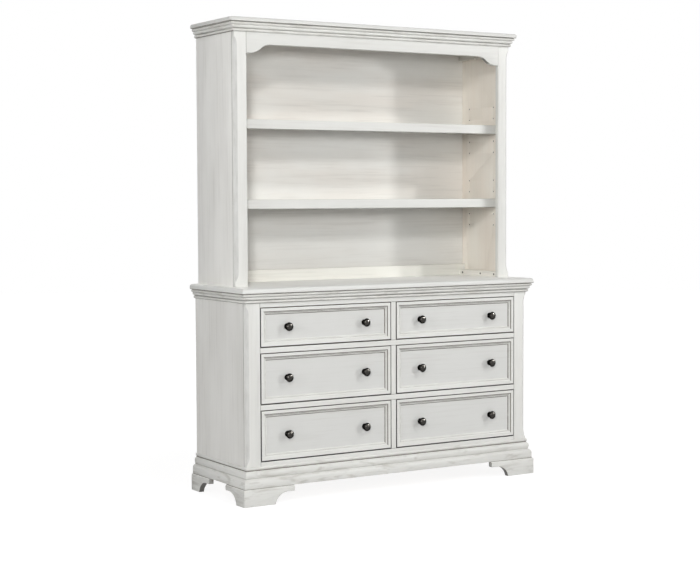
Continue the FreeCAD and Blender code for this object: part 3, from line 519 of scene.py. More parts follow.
class Bench:
    """The modelling tools, each leaving one object at the origin."""

    @staticmethod
    def pick(*objects: Mesh) -> None:
        """Select these objects alone and make the first active.

        Args:
            objects: the objects.
        """
        bpy.ops.object.select_all(action="DESELECT")
        for obj in objects:
            obj.select_set(True)
        bpy.context.view_layer.objects.active = objects[0]

    @staticmethod
    @contextmanager
    def editing(obj: Mesh) -> Iterator[None]:
        """Edit mode on one object, with all of it selected.

        Args:
            obj: the object.

        Yields:
            Nothing.
        """
        Bench.pick(obj)
        bpy.ops.object.mode_set(mode="EDIT")
        bpy.ops.mesh.select_mode(type="VERT")
        bpy.ops.mesh.select_all(action="SELECT")
        yield
        bpy.ops.object.mode_set(mode="OBJECT")

    @staticmethod
    def pick_faces(obj: Mesh, wanted: Callable[[Vector, Vector], bool]) -> None:
        """Select faces in edit mode.

        Args:
            obj: the object in edit mode.
            wanted: a test of a face's middle and normal.
        """
        bpy.ops.mesh.select_mode(type="FACE")
        bpy.ops.mesh.select_all(action="DESELECT")
        shape = bmesh.from_edit_mesh(obj.data)
        for face in shape.faces:
            face.select_set(wanted(face.calc_center_median(), face.normal))
        bmesh.update_edit_mesh(obj.data)

    @staticmethod
    def pick_edges(obj: Mesh, wanted: Callable[[Vector, Vector], bool]) -> None:
        """Select edges in edit mode.

        Args:
            obj: the object in edit mode.
            wanted: a test of an edge's middle and its direction.
        """
        bpy.ops.mesh.select_mode(type="EDGE")
        bpy.ops.mesh.select_all(action="DESELECT")
        shape = bmesh.from_edit_mesh(obj.data)
        for edge in shape.edges:
            first, last = (vert.co for vert in edge.verts)
            edge.select_set(wanted((first + last) / 2, (last - first).normalized()))
        bmesh.update_edit_mesh(obj.data)

    @staticmethod
    def round_edges(obj: Mesh, wanted: Callable[[Vector, Vector], bool], radius: float,
                    segments: int) -> None:
        """Round some edges of an object.

        Args:
            obj: the object.
            wanted: a test of an edge's middle and its direction.
            radius: the radius.
            segments: steps across it.
        """
        with Bench.editing(obj):
            Bench.pick_edges(obj, wanted)
            bpy.ops.mesh.bevel(offset=radius, segments=segments, profile=0.5, affect="EDGES")

    @staticmethod
    def settle(obj: Mesh) -> Mesh:
        """Put an object's place and size into its mesh."""
        Bench.pick(obj)
        bpy.ops.object.transform_apply(location=True, rotation=True, scale=True)
        return obj

    @staticmethod
    def block(name: str, low: Triple, high: Triple) -> Mesh:
        """A square block.

        Args:
            name: its name.
            low: lowest corner.
            high: highest corner.

        Returns:
            The block.
        """
        middle = [(a + b) / 2 for a, b in zip(low, high)]
        size = [b - a for a, b in zip(low, high)]
        bpy.ops.mesh.primitive_cube_add(size=1.0, location=middle, scale=size)
        obj = bpy.context.object
        obj.name = name
        return Bench.settle(obj)

    @staticmethod
    def board(name: str, low: Triple, high: Triple, ease: float = 0.0008) -> Mesh:
        """A planed board with eased edges and a rim along them for wear to fade over.

        Args:
            name: its name.
            low: lowest corner.
            high: highest corner.
            ease: width of the eased edges.

        Returns:
            The board.
        """
        obj = Bench.block(name, low, high)
        with Bench.editing(obj):
            bpy.ops.mesh.bevel(offset=ease, segments=2, profile=0.5, affect="EDGES")
            thin = min(b - a for a, b in zip(low, high))
            Bench.pick_faces(obj, lambda middle, normal: max(abs(v) for v in normal) > FLAT)
            bpy.ops.mesh.inset(thickness=min(RIM, thin * 0.25), use_individual=True)
        return obj

    @staticmethod
    def draw(name: str, plane: Plane, start: Pair, steps: list[Union[Pair, Arc]],
             per_arc: int = 8) -> Mesh:
        """Draw a closed outline and fill it.

        Args:
            name: name of the new object.
            plane: the plane it is drawn on.
            start: its first point.
            steps: its points and arcs in turn; the last returns to the first by a line.
            per_arc: edges along each arc.

        Returns:
            The filled outline.
        """
        bpy.ops.mesh.primitive_plane_add(size=0.01, location=plane.at(start))
        obj = bpy.context.object
        obj.name = name
        Bench.settle(obj)
        with Bench.editing(obj):
            bpy.ops.mesh.merge(type="CENTER")
            here = start
            for step in steps + [start]:
                if isinstance(step, Arc):
                    bpy.ops.mesh.spin(steps=per_arc, angle=-step.angle(here),
                                      center=plane.at(step.centre(here)), axis=plane.normal())
                    here = step.end
                else:
                    bpy.ops.mesh.extrude_vertices_move(
                        TRANSFORM_OT_translate={"value": plane.at(step) - plane.at(here)})
                    here = step
            bpy.ops.mesh.select_all(action="SELECT")
            bpy.ops.mesh.remove_doubles(threshold=MERGE)
            bpy.ops.mesh.edge_face_add()
        return obj

    @staticmethod
    def pull(obj: Mesh, way: Triple) -> Mesh:
        """Extrude a filled outline into a solid.

        Args:
            obj: the outline.
            way: how far and which way.

        Returns:
            The solid.
        """
        with Bench.editing(obj):
            bpy.ops.mesh.extrude_region_move(TRANSFORM_OT_translate={"value": way})
            bpy.ops.mesh.select_all(action="SELECT")
            bpy.ops.mesh.normals_make_consistent(inside=False)
        return obj

    @staticmethod
    def saw(obj: Mesh, through: Triple, keep: Triple) -> Mesh:
        """Saw an object through and close the cut.

        Args:
            obj: the object.
            through: a point of the cut.
            keep: the direction of the side that stays.

        Returns:
            The object.
        """
        with Bench.editing(obj):
            bpy.ops.mesh.bisect(plane_co=through, plane_no=keep, use_fill=True, clear_inner=True)
        return obj

    @staticmethod
    def score(obj: Mesh, level: float) -> Mesh:
        """Score a line round an object at one level, dividing its faces."""
        with Bench.editing(obj):
            bpy.ops.mesh.bisect(plane_co=(0, 0, level), plane_no=(0, 0, 1))
        return obj

    @staticmethod
    def opposite(obj: Mesh, name: str) -> Mesh:
        """A mirrored copy on the other side of the middle.

        Args:
            obj: the object copied.
            name: the copy's name.

        Returns:
            The copy.
        """
        Bench.pick(obj)
        bpy.ops.object.duplicate()
        copy = bpy.context.object
        copy.name = name
        copy.scale.x = -1.0
        Bench.settle(copy)
        with Bench.editing(copy):
            bpy.ops.mesh.normals_make_consistent(inside=False)
        return copy

    @staticmethod
    def joined(name: str, parts: list[Mesh]) -> Mesh:
        """Join parts into one object.

        Args:
            name: its name.
            parts: the parts.

        Returns:
            The object.
        """
        Bench.pick(*parts)
        if len(parts) > 1:
            bpy.ops.object.join()
        parts[0].name = name
        return parts[0]

    @staticmethod
    def soften(obj: Mesh, width: float = 0.0006, sharp: float = 28.0) -> Mesh:
        """Ease the sharp edges with a bevel of two steps.

        Args:
            obj: the object.
            width: width of the bevel.
            sharp: smallest angle that counts as an edge, in degrees.

        Returns:
            The object.
        """
        bevel = obj.modifiers.new("ease", "BEVEL")
        bevel.width = width
        bevel.segments = 2
        bevel.limit_method = "ANGLE"
        bevel.angle_limit = math.radians(sharp)
        Bench.pick(obj)
        bpy.ops.object.modifier_apply(modifier=bevel.name)
        with Bench.editing(obj):
            bpy.ops.mesh.dissolve_degenerate(threshold=MERGE)
        return obj

    @staticmethod
    def turned(name: str, at: Triple, profile: Sequence[Pair], steps: int = 40) -> Mesh:
        """A piece turned about an axis that runs forwards.

        Args:
            name: its name.
            at: where the axis meets the surface it stands on.
            profile: radius and distance forwards of each point, from axis to axis.
            steps: faces round it.

        Returns:
            The closed piece.
        """
        def spot(point: Pair) -> Vector:
            """A point of the profile."""
            return Vector((at[0] + point[0], at[1] - point[1], at[2]))

        bpy.ops.mesh.primitive_plane_add(size=0.001, location=spot(profile[0]))
        obj = bpy.context.object
        obj.name = name
        Bench.settle(obj)
        with Bench.editing(obj):
            bpy.ops.mesh.merge(type="CENTER")
            for here, there in zip(profile, profile[1:]):
                bpy.ops.mesh.extrude_vertices_move(
                    TRANSFORM_OT_translate={"value": spot(there) - spot(here)})
            bpy.ops.mesh.select_all(action="SELECT")
            bpy.ops.mesh.spin(steps=steps, angle=math.tau, center=at, axis=(0, 1, 0))
            bpy.ops.mesh.select_all(action="SELECT")
            bpy.ops.mesh.remove_doubles(threshold=2 * MERGE)
            bpy.ops.mesh.normals_make_consistent(inside=False)
        return obj

    @staticmethod
    def from_node(name: str, node: str) -> Mesh:
        """A merged copy of a frame node, to be worked further.

        Args:
            name: the copy's name.
            node: the node.

        Returns:
            The copy.
        """
        Bench.pick(frame["nodes"][node])
        bpy.ops.object.duplicate()
        copy = bpy.context.object
        copy.name = name
        bpy.ops.object.parent_clear(type="CLEAR_KEEP_TRANSFORM")
        Bench.settle(copy)
        with Bench.editing(copy):
            bpy.ops.mesh.remove_doubles(threshold=MERGE)
            bpy.ops.mesh.dissolve_limited(angle_limit=math.radians(0.5))
        return copy


@dataclass(frozen=True)
class Coat:
    """A share of one coat on the faces that a test of their middle and normal picks."""

    kind: str
    share: float
    on: Callable[[Vector, Vector], bool]


def paint_wear_and_shade(obj: Mesh, coats: Sequence[Coat], corner_glaze_and_shade: float) -> None:
    """Give each face its coats: wear on eased outer corners, glaze with painted shade in inner ones, and
    others.

    Args:
        obj: the object.
        coats: the coats wanted besides.
        corner_glaze_and_shade: how much glaze and painted shade the inner corners hold.
    """
    shape = bmesh.new()
    shape.from_mesh(obj.data)
    shares = {kind: [0.0] * len(shape.faces) for kind in ("wear", "glaze", "veil_and_shade", "gap")}
    for face in shape.faces:
        rim = [edge for edge in face.edges if len(edge.link_faces) == 2]
        around = sum(edge.calc_length() for edge in face.edges)
        if rim and around and 2 * face.calc_area() / around < RIM:
            bend = sum(math.degrees(edge.calc_face_angle_signed()) * edge.calc_length()
                       for edge in rim) / around
            shares["wear"][face.index] = min(1.0, max(0.0, bend / FULL_BEND))
            # Inner corners take glaze, which stands partly for painted shade in the crease.
            shares["glaze"][face.index] = corner_glaze_and_shade * min(1.0, max(0.0, -bend / FULL_BEND))
        middle = face.calc_center_median()
        for coat in coats:
            if coat.on(middle, face.normal):
                shares[coat.kind][face.index] = max(shares[coat.kind][face.index], coat.share)
    shape.free()
    for kind, values in shares.items():
        layer = obj.data.attributes.new(kind, "FLOAT", "FACE")
        layer.data.foreach_set("value", values)


def dress(obj: Mesh, body: str, material: bpy.types.Material, nodes: Sequence[str],
          coats: Sequence[Coat] = (), corner_glaze_and_shade: float = 1.0) -> Mesh:
    """Finish a piece: shading, coats, material, and its place in the frame.

    Args:
        obj: the piece.
        body: the body it rides on.
        material: its finish.
        nodes: the frame nodes it stands for.
        coats: coats on some of its faces.
        corner_glaze_and_shade: how much glaze and painted shade its inner corners hold.

    Returns:
        The piece.
    """
    Bench.pick(obj)
    bpy.ops.object.shade_smooth_by_angle(angle=SMOOTH)
    paint_wear_and_shade(obj, coats, corner_glaze_and_shade)
    obj.data.materials.clear()
    obj.data.materials.append(material)
    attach(obj, body)
    if nodes:
        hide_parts(*nodes)
    log.info("%s: %d faces on %s", obj.name, len(obj.data.polygons), body)
    return obj


def refinish(node: str, material: bpy.types.Material) -> None:
    """Give a frame node a finish."""
    for slot in frame["nodes"][node].material_slots:
        slot.material = material


# ---- mouldings and slabs ---------------------------------------------------------------------


@dataclass
class Moulding:
    """Three lengths of moulding, mitred at the front corners."""

    name: str
    node: str
    half_width: float
    front: float
    top: float
    profile: list[Union[Pair, Arc]]
    grooves: Sequence[Triple]
    side_grooves: Sequence[Triple]
    back: float = BACK
    reach: float = 0.026

    def length(self, name: str, plane: Plane, way: Triple) -> Mesh:
        """One straight length before its mitre."""
        return Bench.pull(Bench.draw(name, plane, (0.0, 0.0), self.profile), way)

    def beside(self, at: Vector) -> bool:
        """Whether a spot is on a side length, past the mitre."""
        return abs(at.x) - self.half_width > self.front - at.y

    def build(self) -> Mesh:
        """The three lengths as one piece.

        Returns:
            The dressed moulding.
        """
        half, run = self.half_width, self.reach
        far = half + run
        front = self.length("front_length", Plane((-far, self.front, self.top), (0, 1, 0), (0, 0, 1)),
                            (2 * far, 0, 0))
        Bench.saw(front, (-half, self.front, 0), (1, -1, 0))
        Bench.saw(front, (half, self.front, 0), (-1, -1, 0))
        left = self.length("left_length", Plane((-half, self.back, self.top), (1, 0, 0), (0, 0, 1)),
                           (0, self.front - run - self.back, 0))
        Bench.saw(left, (-half, self.front, 0), (-1, 1, 0))
        right = Bench.opposite(left, "right_length")
        whole = Bench.joined(self.name, [front, left, right])
        Bench.soften(whole, 0.0004)
        # Glaze with painted shade in the groove bands; the side returns take the darker return paint.
        coats = [Coat("glaze", share, lambda at, out, up=up, down=down, side=side:
                      up <= (self.top - at.z) * 1000 <= down and self.beside(at) == side)
                 for side, grooves in ((False, self.grooves), (True, self.side_grooves))
                 for up, down, share in grooves]
        dress(whole, "case", PAINT_MOULDED, [self.node], coats, corner_glaze_and_shade=0.5)
        whole.data.materials.append(PAINT_RETURN)
        for face in whole.data.polygons:
            face.material_index = int(self.beside(face.center))
        return whole


@dataclass
class Slab:
    """A top board with its front and side edges rounded."""

    name: str
    node: str
    half_width: float
    front: float
    low: float
    thick: float
    upper: float
    lower: float
    finish: bpy.types.Material = PAINT_TOP
    back: float = BACK

    def build(self) -> Mesh:
        """The slab.

        Returns:
            The dressed slab.
        """
        top = self.low + self.thick
        slab = Bench.block(self.name, (-self.half_width, self.front, self.low),
                           (self.half_width, self.back, top))
        for level, radius, steps in ((top, self.upper, 8), (self.low, self.lower, 4)):
            def rim(middle: Vector, way: Vector, level: float = level) -> bool:
                """A front or side edge at the level."""
                flat = abs(middle.z - level) < TOUCH and abs(way.z) < 0.1
                return flat and abs(middle.y - self.back) > 0.01

            Bench.round_edges(slab, rim, radius, steps)
        Bench.soften(slab)
        with Bench.editing(slab):
            Bench.pick_faces(slab, lambda middle, normal: abs(normal.z) > FLAT)
            bpy.ops.mesh.inset(thickness=RIM, use_individual=True)
        # Painted shadow on the rounded lower edge, and painted shade on the rounded front and side edges
        # that dims their highlight.
        coats = (
            Coat("glaze", 0.9, lambda at, out: -0.95 < out.z < -0.3),
            Coat("veil_and_shade", 0.75, lambda at, out: -0.3 < out.z < 0.97),
        )
        return dress(slab, "case", self.finish, [self.node], coats)


def crown_section() -> list[Union[Pair, Arc]]:
    """Three ribs, each further in than the one above, from the top down.

    Returns:
        The section's steps after its first corner.
    """
    return [
        (-14 * MM, 0.0),
        Arc((-14 * MM, -12 * MM), 1, across=-14 * MM),
        (-12.5 * MM, -12 * MM),
        (-12.5 * MM, -13 * MM),
        Arc((-6 * MM, -25 * MM), 1, across=-6 * MM),
        (-3 * MM, -26 * MM),
        Arc((-3 * MM, -38 * MM), 1, across=-3 * MM),
        (0.0, -38 * MM),
    ]


def base_section() -> list[Union[Pair, Arc]]:
    """Bead, groove, swelling, larger ovolo and flat, from the top down.

    Returns:
        The section's steps after its first corner.
    """
    hollow = math.sqrt(7.3 ** 2 - 6.5 ** 2) * MM
    return [
        (-2 * MM, 0.0),
        Arc((-2 * MM, -13 * MM), 1, across=hollow - 2 * MM),
        (-3 * MM, -16 * MM),
        Arc((-11 * MM, -30 * MM), 1, level=-30 * MM),
        Arc((-8 * MM, -44 * MM), 1, level=-30 * MM),
        (-8 * MM, -46 * MM),
        Arc((-20 * MM, -62 * MM), 1, level=-62 * MM),
        (-20 * MM, -84 * MM),
        (0.0, -84 * MM),
    ]


# Glaze bands, from and to a depth below the top in millimetres, with their share: glaze together with
# painted shade, mostly painted shadow in the line under a slab, and darker on the side returns where the
# front is lit.
CROWN_GROOVES = ((0.0, 1.6, 1.0), (11.0, 13.8, 0.3), (24.6, 26.3, 0.35), (35.9, 38.0, 0.4))
CROWN_SIDE_GROOVES = ((0.0, 1.6, 1.0), (11.0, 13.8, 0.4), (24.6, 26.3, 0.35), (35.9, 38.0, 0.9))
CORNICE_GROOVES = ((0.0, 1.6, 1.0), (11.0, 13.8, 0.85), (24.6, 26.3, 0.75), (35.9, 38.0, 1.0))
PLINTH_GROOVES = ((12.8, 16.4, 1.0), (42.0, 46.2, 0.4), (84.0, 84.1, 1.0))


# ---- dresser ---------------------------------------------------------------------------------


@dataclass
class Post:
    """The two front uprights of a case, with a stopped chamfer on their outer corners."""

    names: tuple[str, str]
    nodes: tuple[str, str]
    half_width: float
    front: float
    width: float
    low: float
    high: float
    stop_low: float
    stop_high: float
    joined_from: float = 0.0
    # Shares of painted dark on the inner edge of the left and of the right upright.
    seams: Pair = (0.97, 0.5)
    thick: float = 0.020
    chamfer: float = 0.014
    tongue: float = 0.036

    def build(self) -> None:
        """The left upright and its mirrored fellow."""
        inner = self.half_width - self.width
        post = Bench.block(self.names[0], (-self.half_width, self.front, self.low),
                           (-inner, self.front + self.thick, self.high))
        root = math.sqrt(0.5)
        deep = self.chamfer * root
        plane = Plane((-self.half_width, self.front, self.low), (root, root, 0), (0, 0, 1))
        first, last = self.stop_low, self.high - self.low - self.stop_high
        cutter = Bench.draw("chamfer_cutter", plane, (-deep, first), [
            (0.0, first),
            Arc((deep, first + self.tongue), 1, level=first + self.tongue),
            (deep, last - self.tongue),
            Arc((0.0, last), 1, level=last - self.tongue),
            (-deep, last),
        ], 10)
        reach = 1.5 * self.chamfer * root
        with Bench.editing(cutter):
            bpy.ops.transform.translate(value=(-reach, reach, 0))
        Bench.pull(cutter, (2 * reach, -2 * reach, 0))
        cut = post.modifiers.new("chamfer", "BOOLEAN")
        cut.operation = "DIFFERENCE"
        cut.solver = "EXACT"
        cut.object = cutter
        Bench.pick(post)
        bpy.ops.object.modifier_apply(modifier=cut.name)
        bpy.data.objects.remove(cutter)
        Bench.soften(post, 0.0008)
        Bench.score(post, self.joined_from)
        rear = self.front + self.thick

        def joint(at: Vector) -> bool:
            """The inner edge, where rails or drawers meet it."""
            return abs(at.x) < inner + EASED and at.z > self.joined_from

        def chamfered(at: Vector, out: Vector) -> bool:
            """The chamfer's own face."""
            return abs(out.x) > 0.6 and abs(out.y) > 0.6

        pair = (post, Bench.opposite(post, self.names[1]))
        for obj, node, seam in zip(pair, self.nodes, self.seams):
            # The inner edge beside the drawers or rails is painted dark, darker on the left: painted
            # shade in the drawer gap, and a dark joint at the rail. The chamfer is painted greyer as
            # painted shade.
            coats = (
                Coat("gap", seam, lambda at, out: joint(at) and out.y > -0.98),
                Coat("glaze", 0.7, lambda at, out: abs(at.y - rear) < EASED and abs(out.x) > 0.3),
                Coat("veil_and_shade", 1.0, chamfered),
                Coat("glaze", 0.38, chamfered),
            )
            dress(obj, "case", PAINT_UPRIGHT, [node], coats)


# Painted shade in the drawer openings: the faces inside the gaps nearly black, and the eased edges below
# and left of each drawer darker than the others.
FRAME_COATS = (
    Coat("gap", 0.97, lambda at, out: out.y > -0.7),
    Coat("gap", 0.95, lambda at, out: -0.98 < out.y < -0.7 and out.x + out.z > 0.1),
    Coat("gap", 0.4, lambda at, out: -0.98 < out.y < -0.7),
)


@dataclass
class DresserCase:
    """The dresser below its drawers: face frame, sides, inner boards, mouldings and top."""

    half: float = 0.696
    face: float = -0.210
    behind: float = -0.190
    low: float = 0.070
    top: float = 0.842
    opening: float = 0.632
    stile: float = 0.012
    plinth: float = 0.154
    gap: float = 0.003
    rows: tuple[Pair, ...] = ((0.170, 0.376), (0.398, 0.604), (0.626, 0.786))

    def rail(self, name: str, low: float, high: float) -> Mesh:
        """A rail between the posts, from one level to another."""
        return Bench.board(name, (-self.opening, self.face, low), (self.opening, self.behind, high))

    def fix(self, pieces: list[Mesh], name: str, material: bpy.types.Material, node: str) -> None:
        """Join pieces of the face frame into one and dress it."""
        dress(Bench.joined(name, pieces), "case", material, [node], FRAME_COATS)

    def drawers(self) -> list["Drawer"]:
        """The drawers, each with a gap all round in its opening."""
        far, near = self.opening - self.gap, self.stile + self.gap
        return [Drawer(row, side, x, (low + self.gap, high - self.gap))
                for row, (low, high) in zip(("lower", "middle", "upper"), self.rows)
                for side, x in (("left", (-far, -near)), ("right", (near, far)))]

    def build(self) -> None:
        """All fixed pieces of the dresser's case."""
        Slab("dresser_slab", "dresser_top", REACH, FRONT, self.top, thick=0.022, upper=0.012,
             lower=0.004).build()
        Moulding("dresser_cornice", "top_moulding", self.half, self.face, self.top,
                 crown_section(), CORNICE_GROOVES, CORNICE_GROOVES).build()
        Moulding("plinth_moulding", "base_moulding", self.half, self.face, self.plinth,
                 base_section(), PLINTH_GROOVES, PLINTH_GROOVES).build()
        Post(("post_left", "post_right"), ("front_post_left", "front_post_right"), self.half,
             self.face, width=0.064, low=self.low, high=self.top, stop_low=0.090,
             stop_high=0.047).build()
        self.fix([self.rail("rail", self.rows[2][1], self.top)], "rail_top", PAINT_ACROSS,
                 "face_rail_top")
        self.fix([self.rail("rail", self.low, self.rows[0][0])], "rail_bottom", PAINT_ACROSS,
                 "face_rail_bottom")
        middle = [self.rail("rail_%d" % row, self.rows[row][1], self.rows[row + 1][0])
                  for row in (0, 1)]
        self.fix(middle, "rails_between", PAINT_ACROSS, "face_mid_rails")
        stiles = [Bench.board("stile_%d" % row, (-self.stile, self.face, low),
                              (self.stile, self.behind, high))
                  for row, (low, high) in enumerate(self.rows)]
        self.fix(stiles, "stiles_between", PAINT_UPRIGHT, "centre_stiles")
        for material, nodes in ((PAINT_CASE_SIDE, ("case_side_left", "case_side_right")),
                                (WOOD_ACROSS, ("case_back", "case_bottom")),
                                (WOOD_DEEP, ("centre_partition", "drawer_runners", "drawer_guides"))):
            for node in nodes:
                refinish(node, material)


@dataclass
class BracketFeet:
    """Four feet of mitred boards, each with a curved bracket, and their glue blocks.

    The boards are given by their length at the top and on the floor, the rear brace by its width
    on the floor and at the top and by the depth of its square end.
    """

    high: float = 0.070
    thick: float = 0.022
    arch: float = 0.047
    curve: float = 0.058
    round: float = 0.008
    block: float = 0.030
    ahead: Pair = (0.230, 0.141)
    beside: Pair = (0.162, 0.068)
    behind: Pair = (0.162, 0.072)
    brace: Triple = (0.024, 0.066, 0.012)

    def board(self, name: str, plane: Plane, size: Pair, way: Triple) -> Mesh:
        """One board: bearing, curve, flat underside, square end and rounded top edge.

        Args:
            name: its name.
            plane: the plane of its outer face.
            size: its length at the top and on the floor.
            way: its thickness and direction.

        Returns:
            The board.
        """
        length, bearing = size
        end = bearing + self.curve
        board = Bench.pull(Bench.draw(name, plane, (0.0, 0.0), [
            (bearing, 0.0),
            Arc((end, self.arch), -1, across=end),
            (length, self.arch),
            (length, self.high),
            (0.0, self.high),
        ], 12), way)
        face = Vector(plane.origin).dot(plane.normal())

        def edge(middle: Vector, along: Vector) -> bool:
            """The long top edge of the outer face."""
            level = abs(middle.z - self.high) < TOUCH
            return level and abs(middle.dot(plane.normal()) - face) < TOUCH

        Bench.round_edges(board, edge, self.round, 6)
        return board

    def corner(self, y: Pair) -> Mesh:
        """The glue block behind a left foot, from one depth to another."""
        x = -REACH + self.thick
        return Bench.board("glue_block", (x, y[0], self.block), (x + self.block, y[1], self.high))

    def front_foot(self) -> list[Mesh]:
        """The boards of the left front foot."""
        at = (-REACH, FRONT, 0)
        ahead = self.board("front_board", Plane(at, (1, 0, 0), (0, 0, 1)), self.ahead,
                           (0, self.thick, 0))
        Bench.saw(ahead, at, (1, -1, 0))
        beside = self.board("side_board", Plane(at, (0, 1, 0), (0, 0, 1)), self.beside,
                            (self.thick, 0, 0))
        Bench.saw(beside, at, (-1, 1, 0))
        inner = FRONT + self.thick
        return [ahead, beside, self.corner((inner, inner + self.block))]

    def rear_foot(self) -> list[Mesh]:
        """The boards of the left rear foot."""
        beside = self.board("rear_board", Plane((-REACH, BACK, 0), (0, -1, 0), (0, 0, 1)),
                            self.behind, (self.thick, 0, 0))
        x, inner = -REACH + self.thick, BACK - self.thick
        foot, wide, square = self.brace
        brace = Bench.draw("rear_brace", Plane((x, inner, 0), (1, 0, 0), (0, 0, 1)), (0.0, 0.0), [
            (foot, 0.0), (wide, self.high - square), (wide, self.high), (0.0, self.high)])
        Bench.pull(brace, (0, self.thick, 0))
        return [beside, brace, self.corner((inner - self.block, inner))]

    def build(self) -> None:
        """The feet."""
        # Painted shade on the feet: the undersides of the brackets and the inner faces nearly black, a
        # painted shadow line along the tops under the moulding and at the floor, and greyer outer side
        # faces.
        coats = (
            Coat("gap", 0.88, lambda at, out: out.z < -0.05 and at.z > 0.003),
            Coat("gap", 0.5, lambda at, out: abs(out.x) > 0.9 and abs(at.x) < 0.6),
            Coat("gap", 0.5, lambda at, out: abs(out.y) > 0.9 and abs(at.y) < 0.1),
            Coat("gap", 0.6, lambda at, out: abs(at.x) < 0.7 and out.y > 0.9),
            Coat("glaze", 0.9, lambda at, out: out.z > 0.9),
            Coat("glaze", 0.38, lambda at, out: abs(out.x) > 0.9 and abs(at.x) > 0.72),
            Coat("glaze", 0.5, lambda at, out: 0.001 < at.z < 0.003 or at.z < 0.0005),
        )
        for where, boards in (("front", self.front_foot()), ("rear", self.rear_foot())):
            left = Bench.soften(Bench.joined("bracket_%s_left" % where, boards), 0.0008)
            for foot in (left, Bench.opposite(left, "bracket_%s_right" % where)):
                node = foot.name.replace("bracket", "foot")
                dress(foot, "case", PAINT_MOULDED, [node], coats)
                foot.data.materials.append(PAINT_RETURN)
                for face in foot.data.polygons:
                    at = face.center
                    face.material_index = int(abs(at.x) - REACH > FRONT - at.y)


# ---- drawers ---------------------------------------------------------------------------------


KNOB_PROFILE = [(radius * MM, forward * MM) for radius, forward in (
    (0.0, 0.0), (12.5, 0.0), (12.5, 1.2), (12.1, 2.2), (11.0, 2.9), (9.6, 3.1), (9.0, 3.8), (7.2, 4.4),
    (5.9, 5.2), (5.5, 6.6), (5.5, 9.0), (6.4, 11.6), (8.8, 14.0), (12.4, 16.0), (15.6, 17.6),
    (17.0, 18.8), (17.5, 20.2), (17.3, 21.4), (16.5, 22.5), (15.4, 23.0), (14.5, 23.1), (14.0, 22.8),
    (13.4, 22.8), (12.9, 23.4), (12.2, 24.3), (10.4, 25.9), (8.0, 27.3), (5.4, 28.3), (2.7, 28.85),
    (0.0, 29.0))]
SCREW_PROFILE = [(radius * MM, forward * MM) for radius, forward in (
    (0.0, 1.2), (1.0, 1.0), (1.2, 0.1), (2.4, 0.0), (3.5, 0.5), (4.0, 1.4), (4.0, 3.0), (2.0, 3.0),
    (2.0, 9.0), (0.0, 9.0))]


def curved(count: int, degrees: float, spot: Callable[[float], Pair]) -> list[Pair]:
    """How far each of a count of steps goes along a curve that is given by the angle."""
    spots = [spot(math.radians(degrees * number)) for number in range(count + 1)]
    return [(there[0] - here[0], there[1] - here[1]) for here, there in zip(spots, spots[1:])]


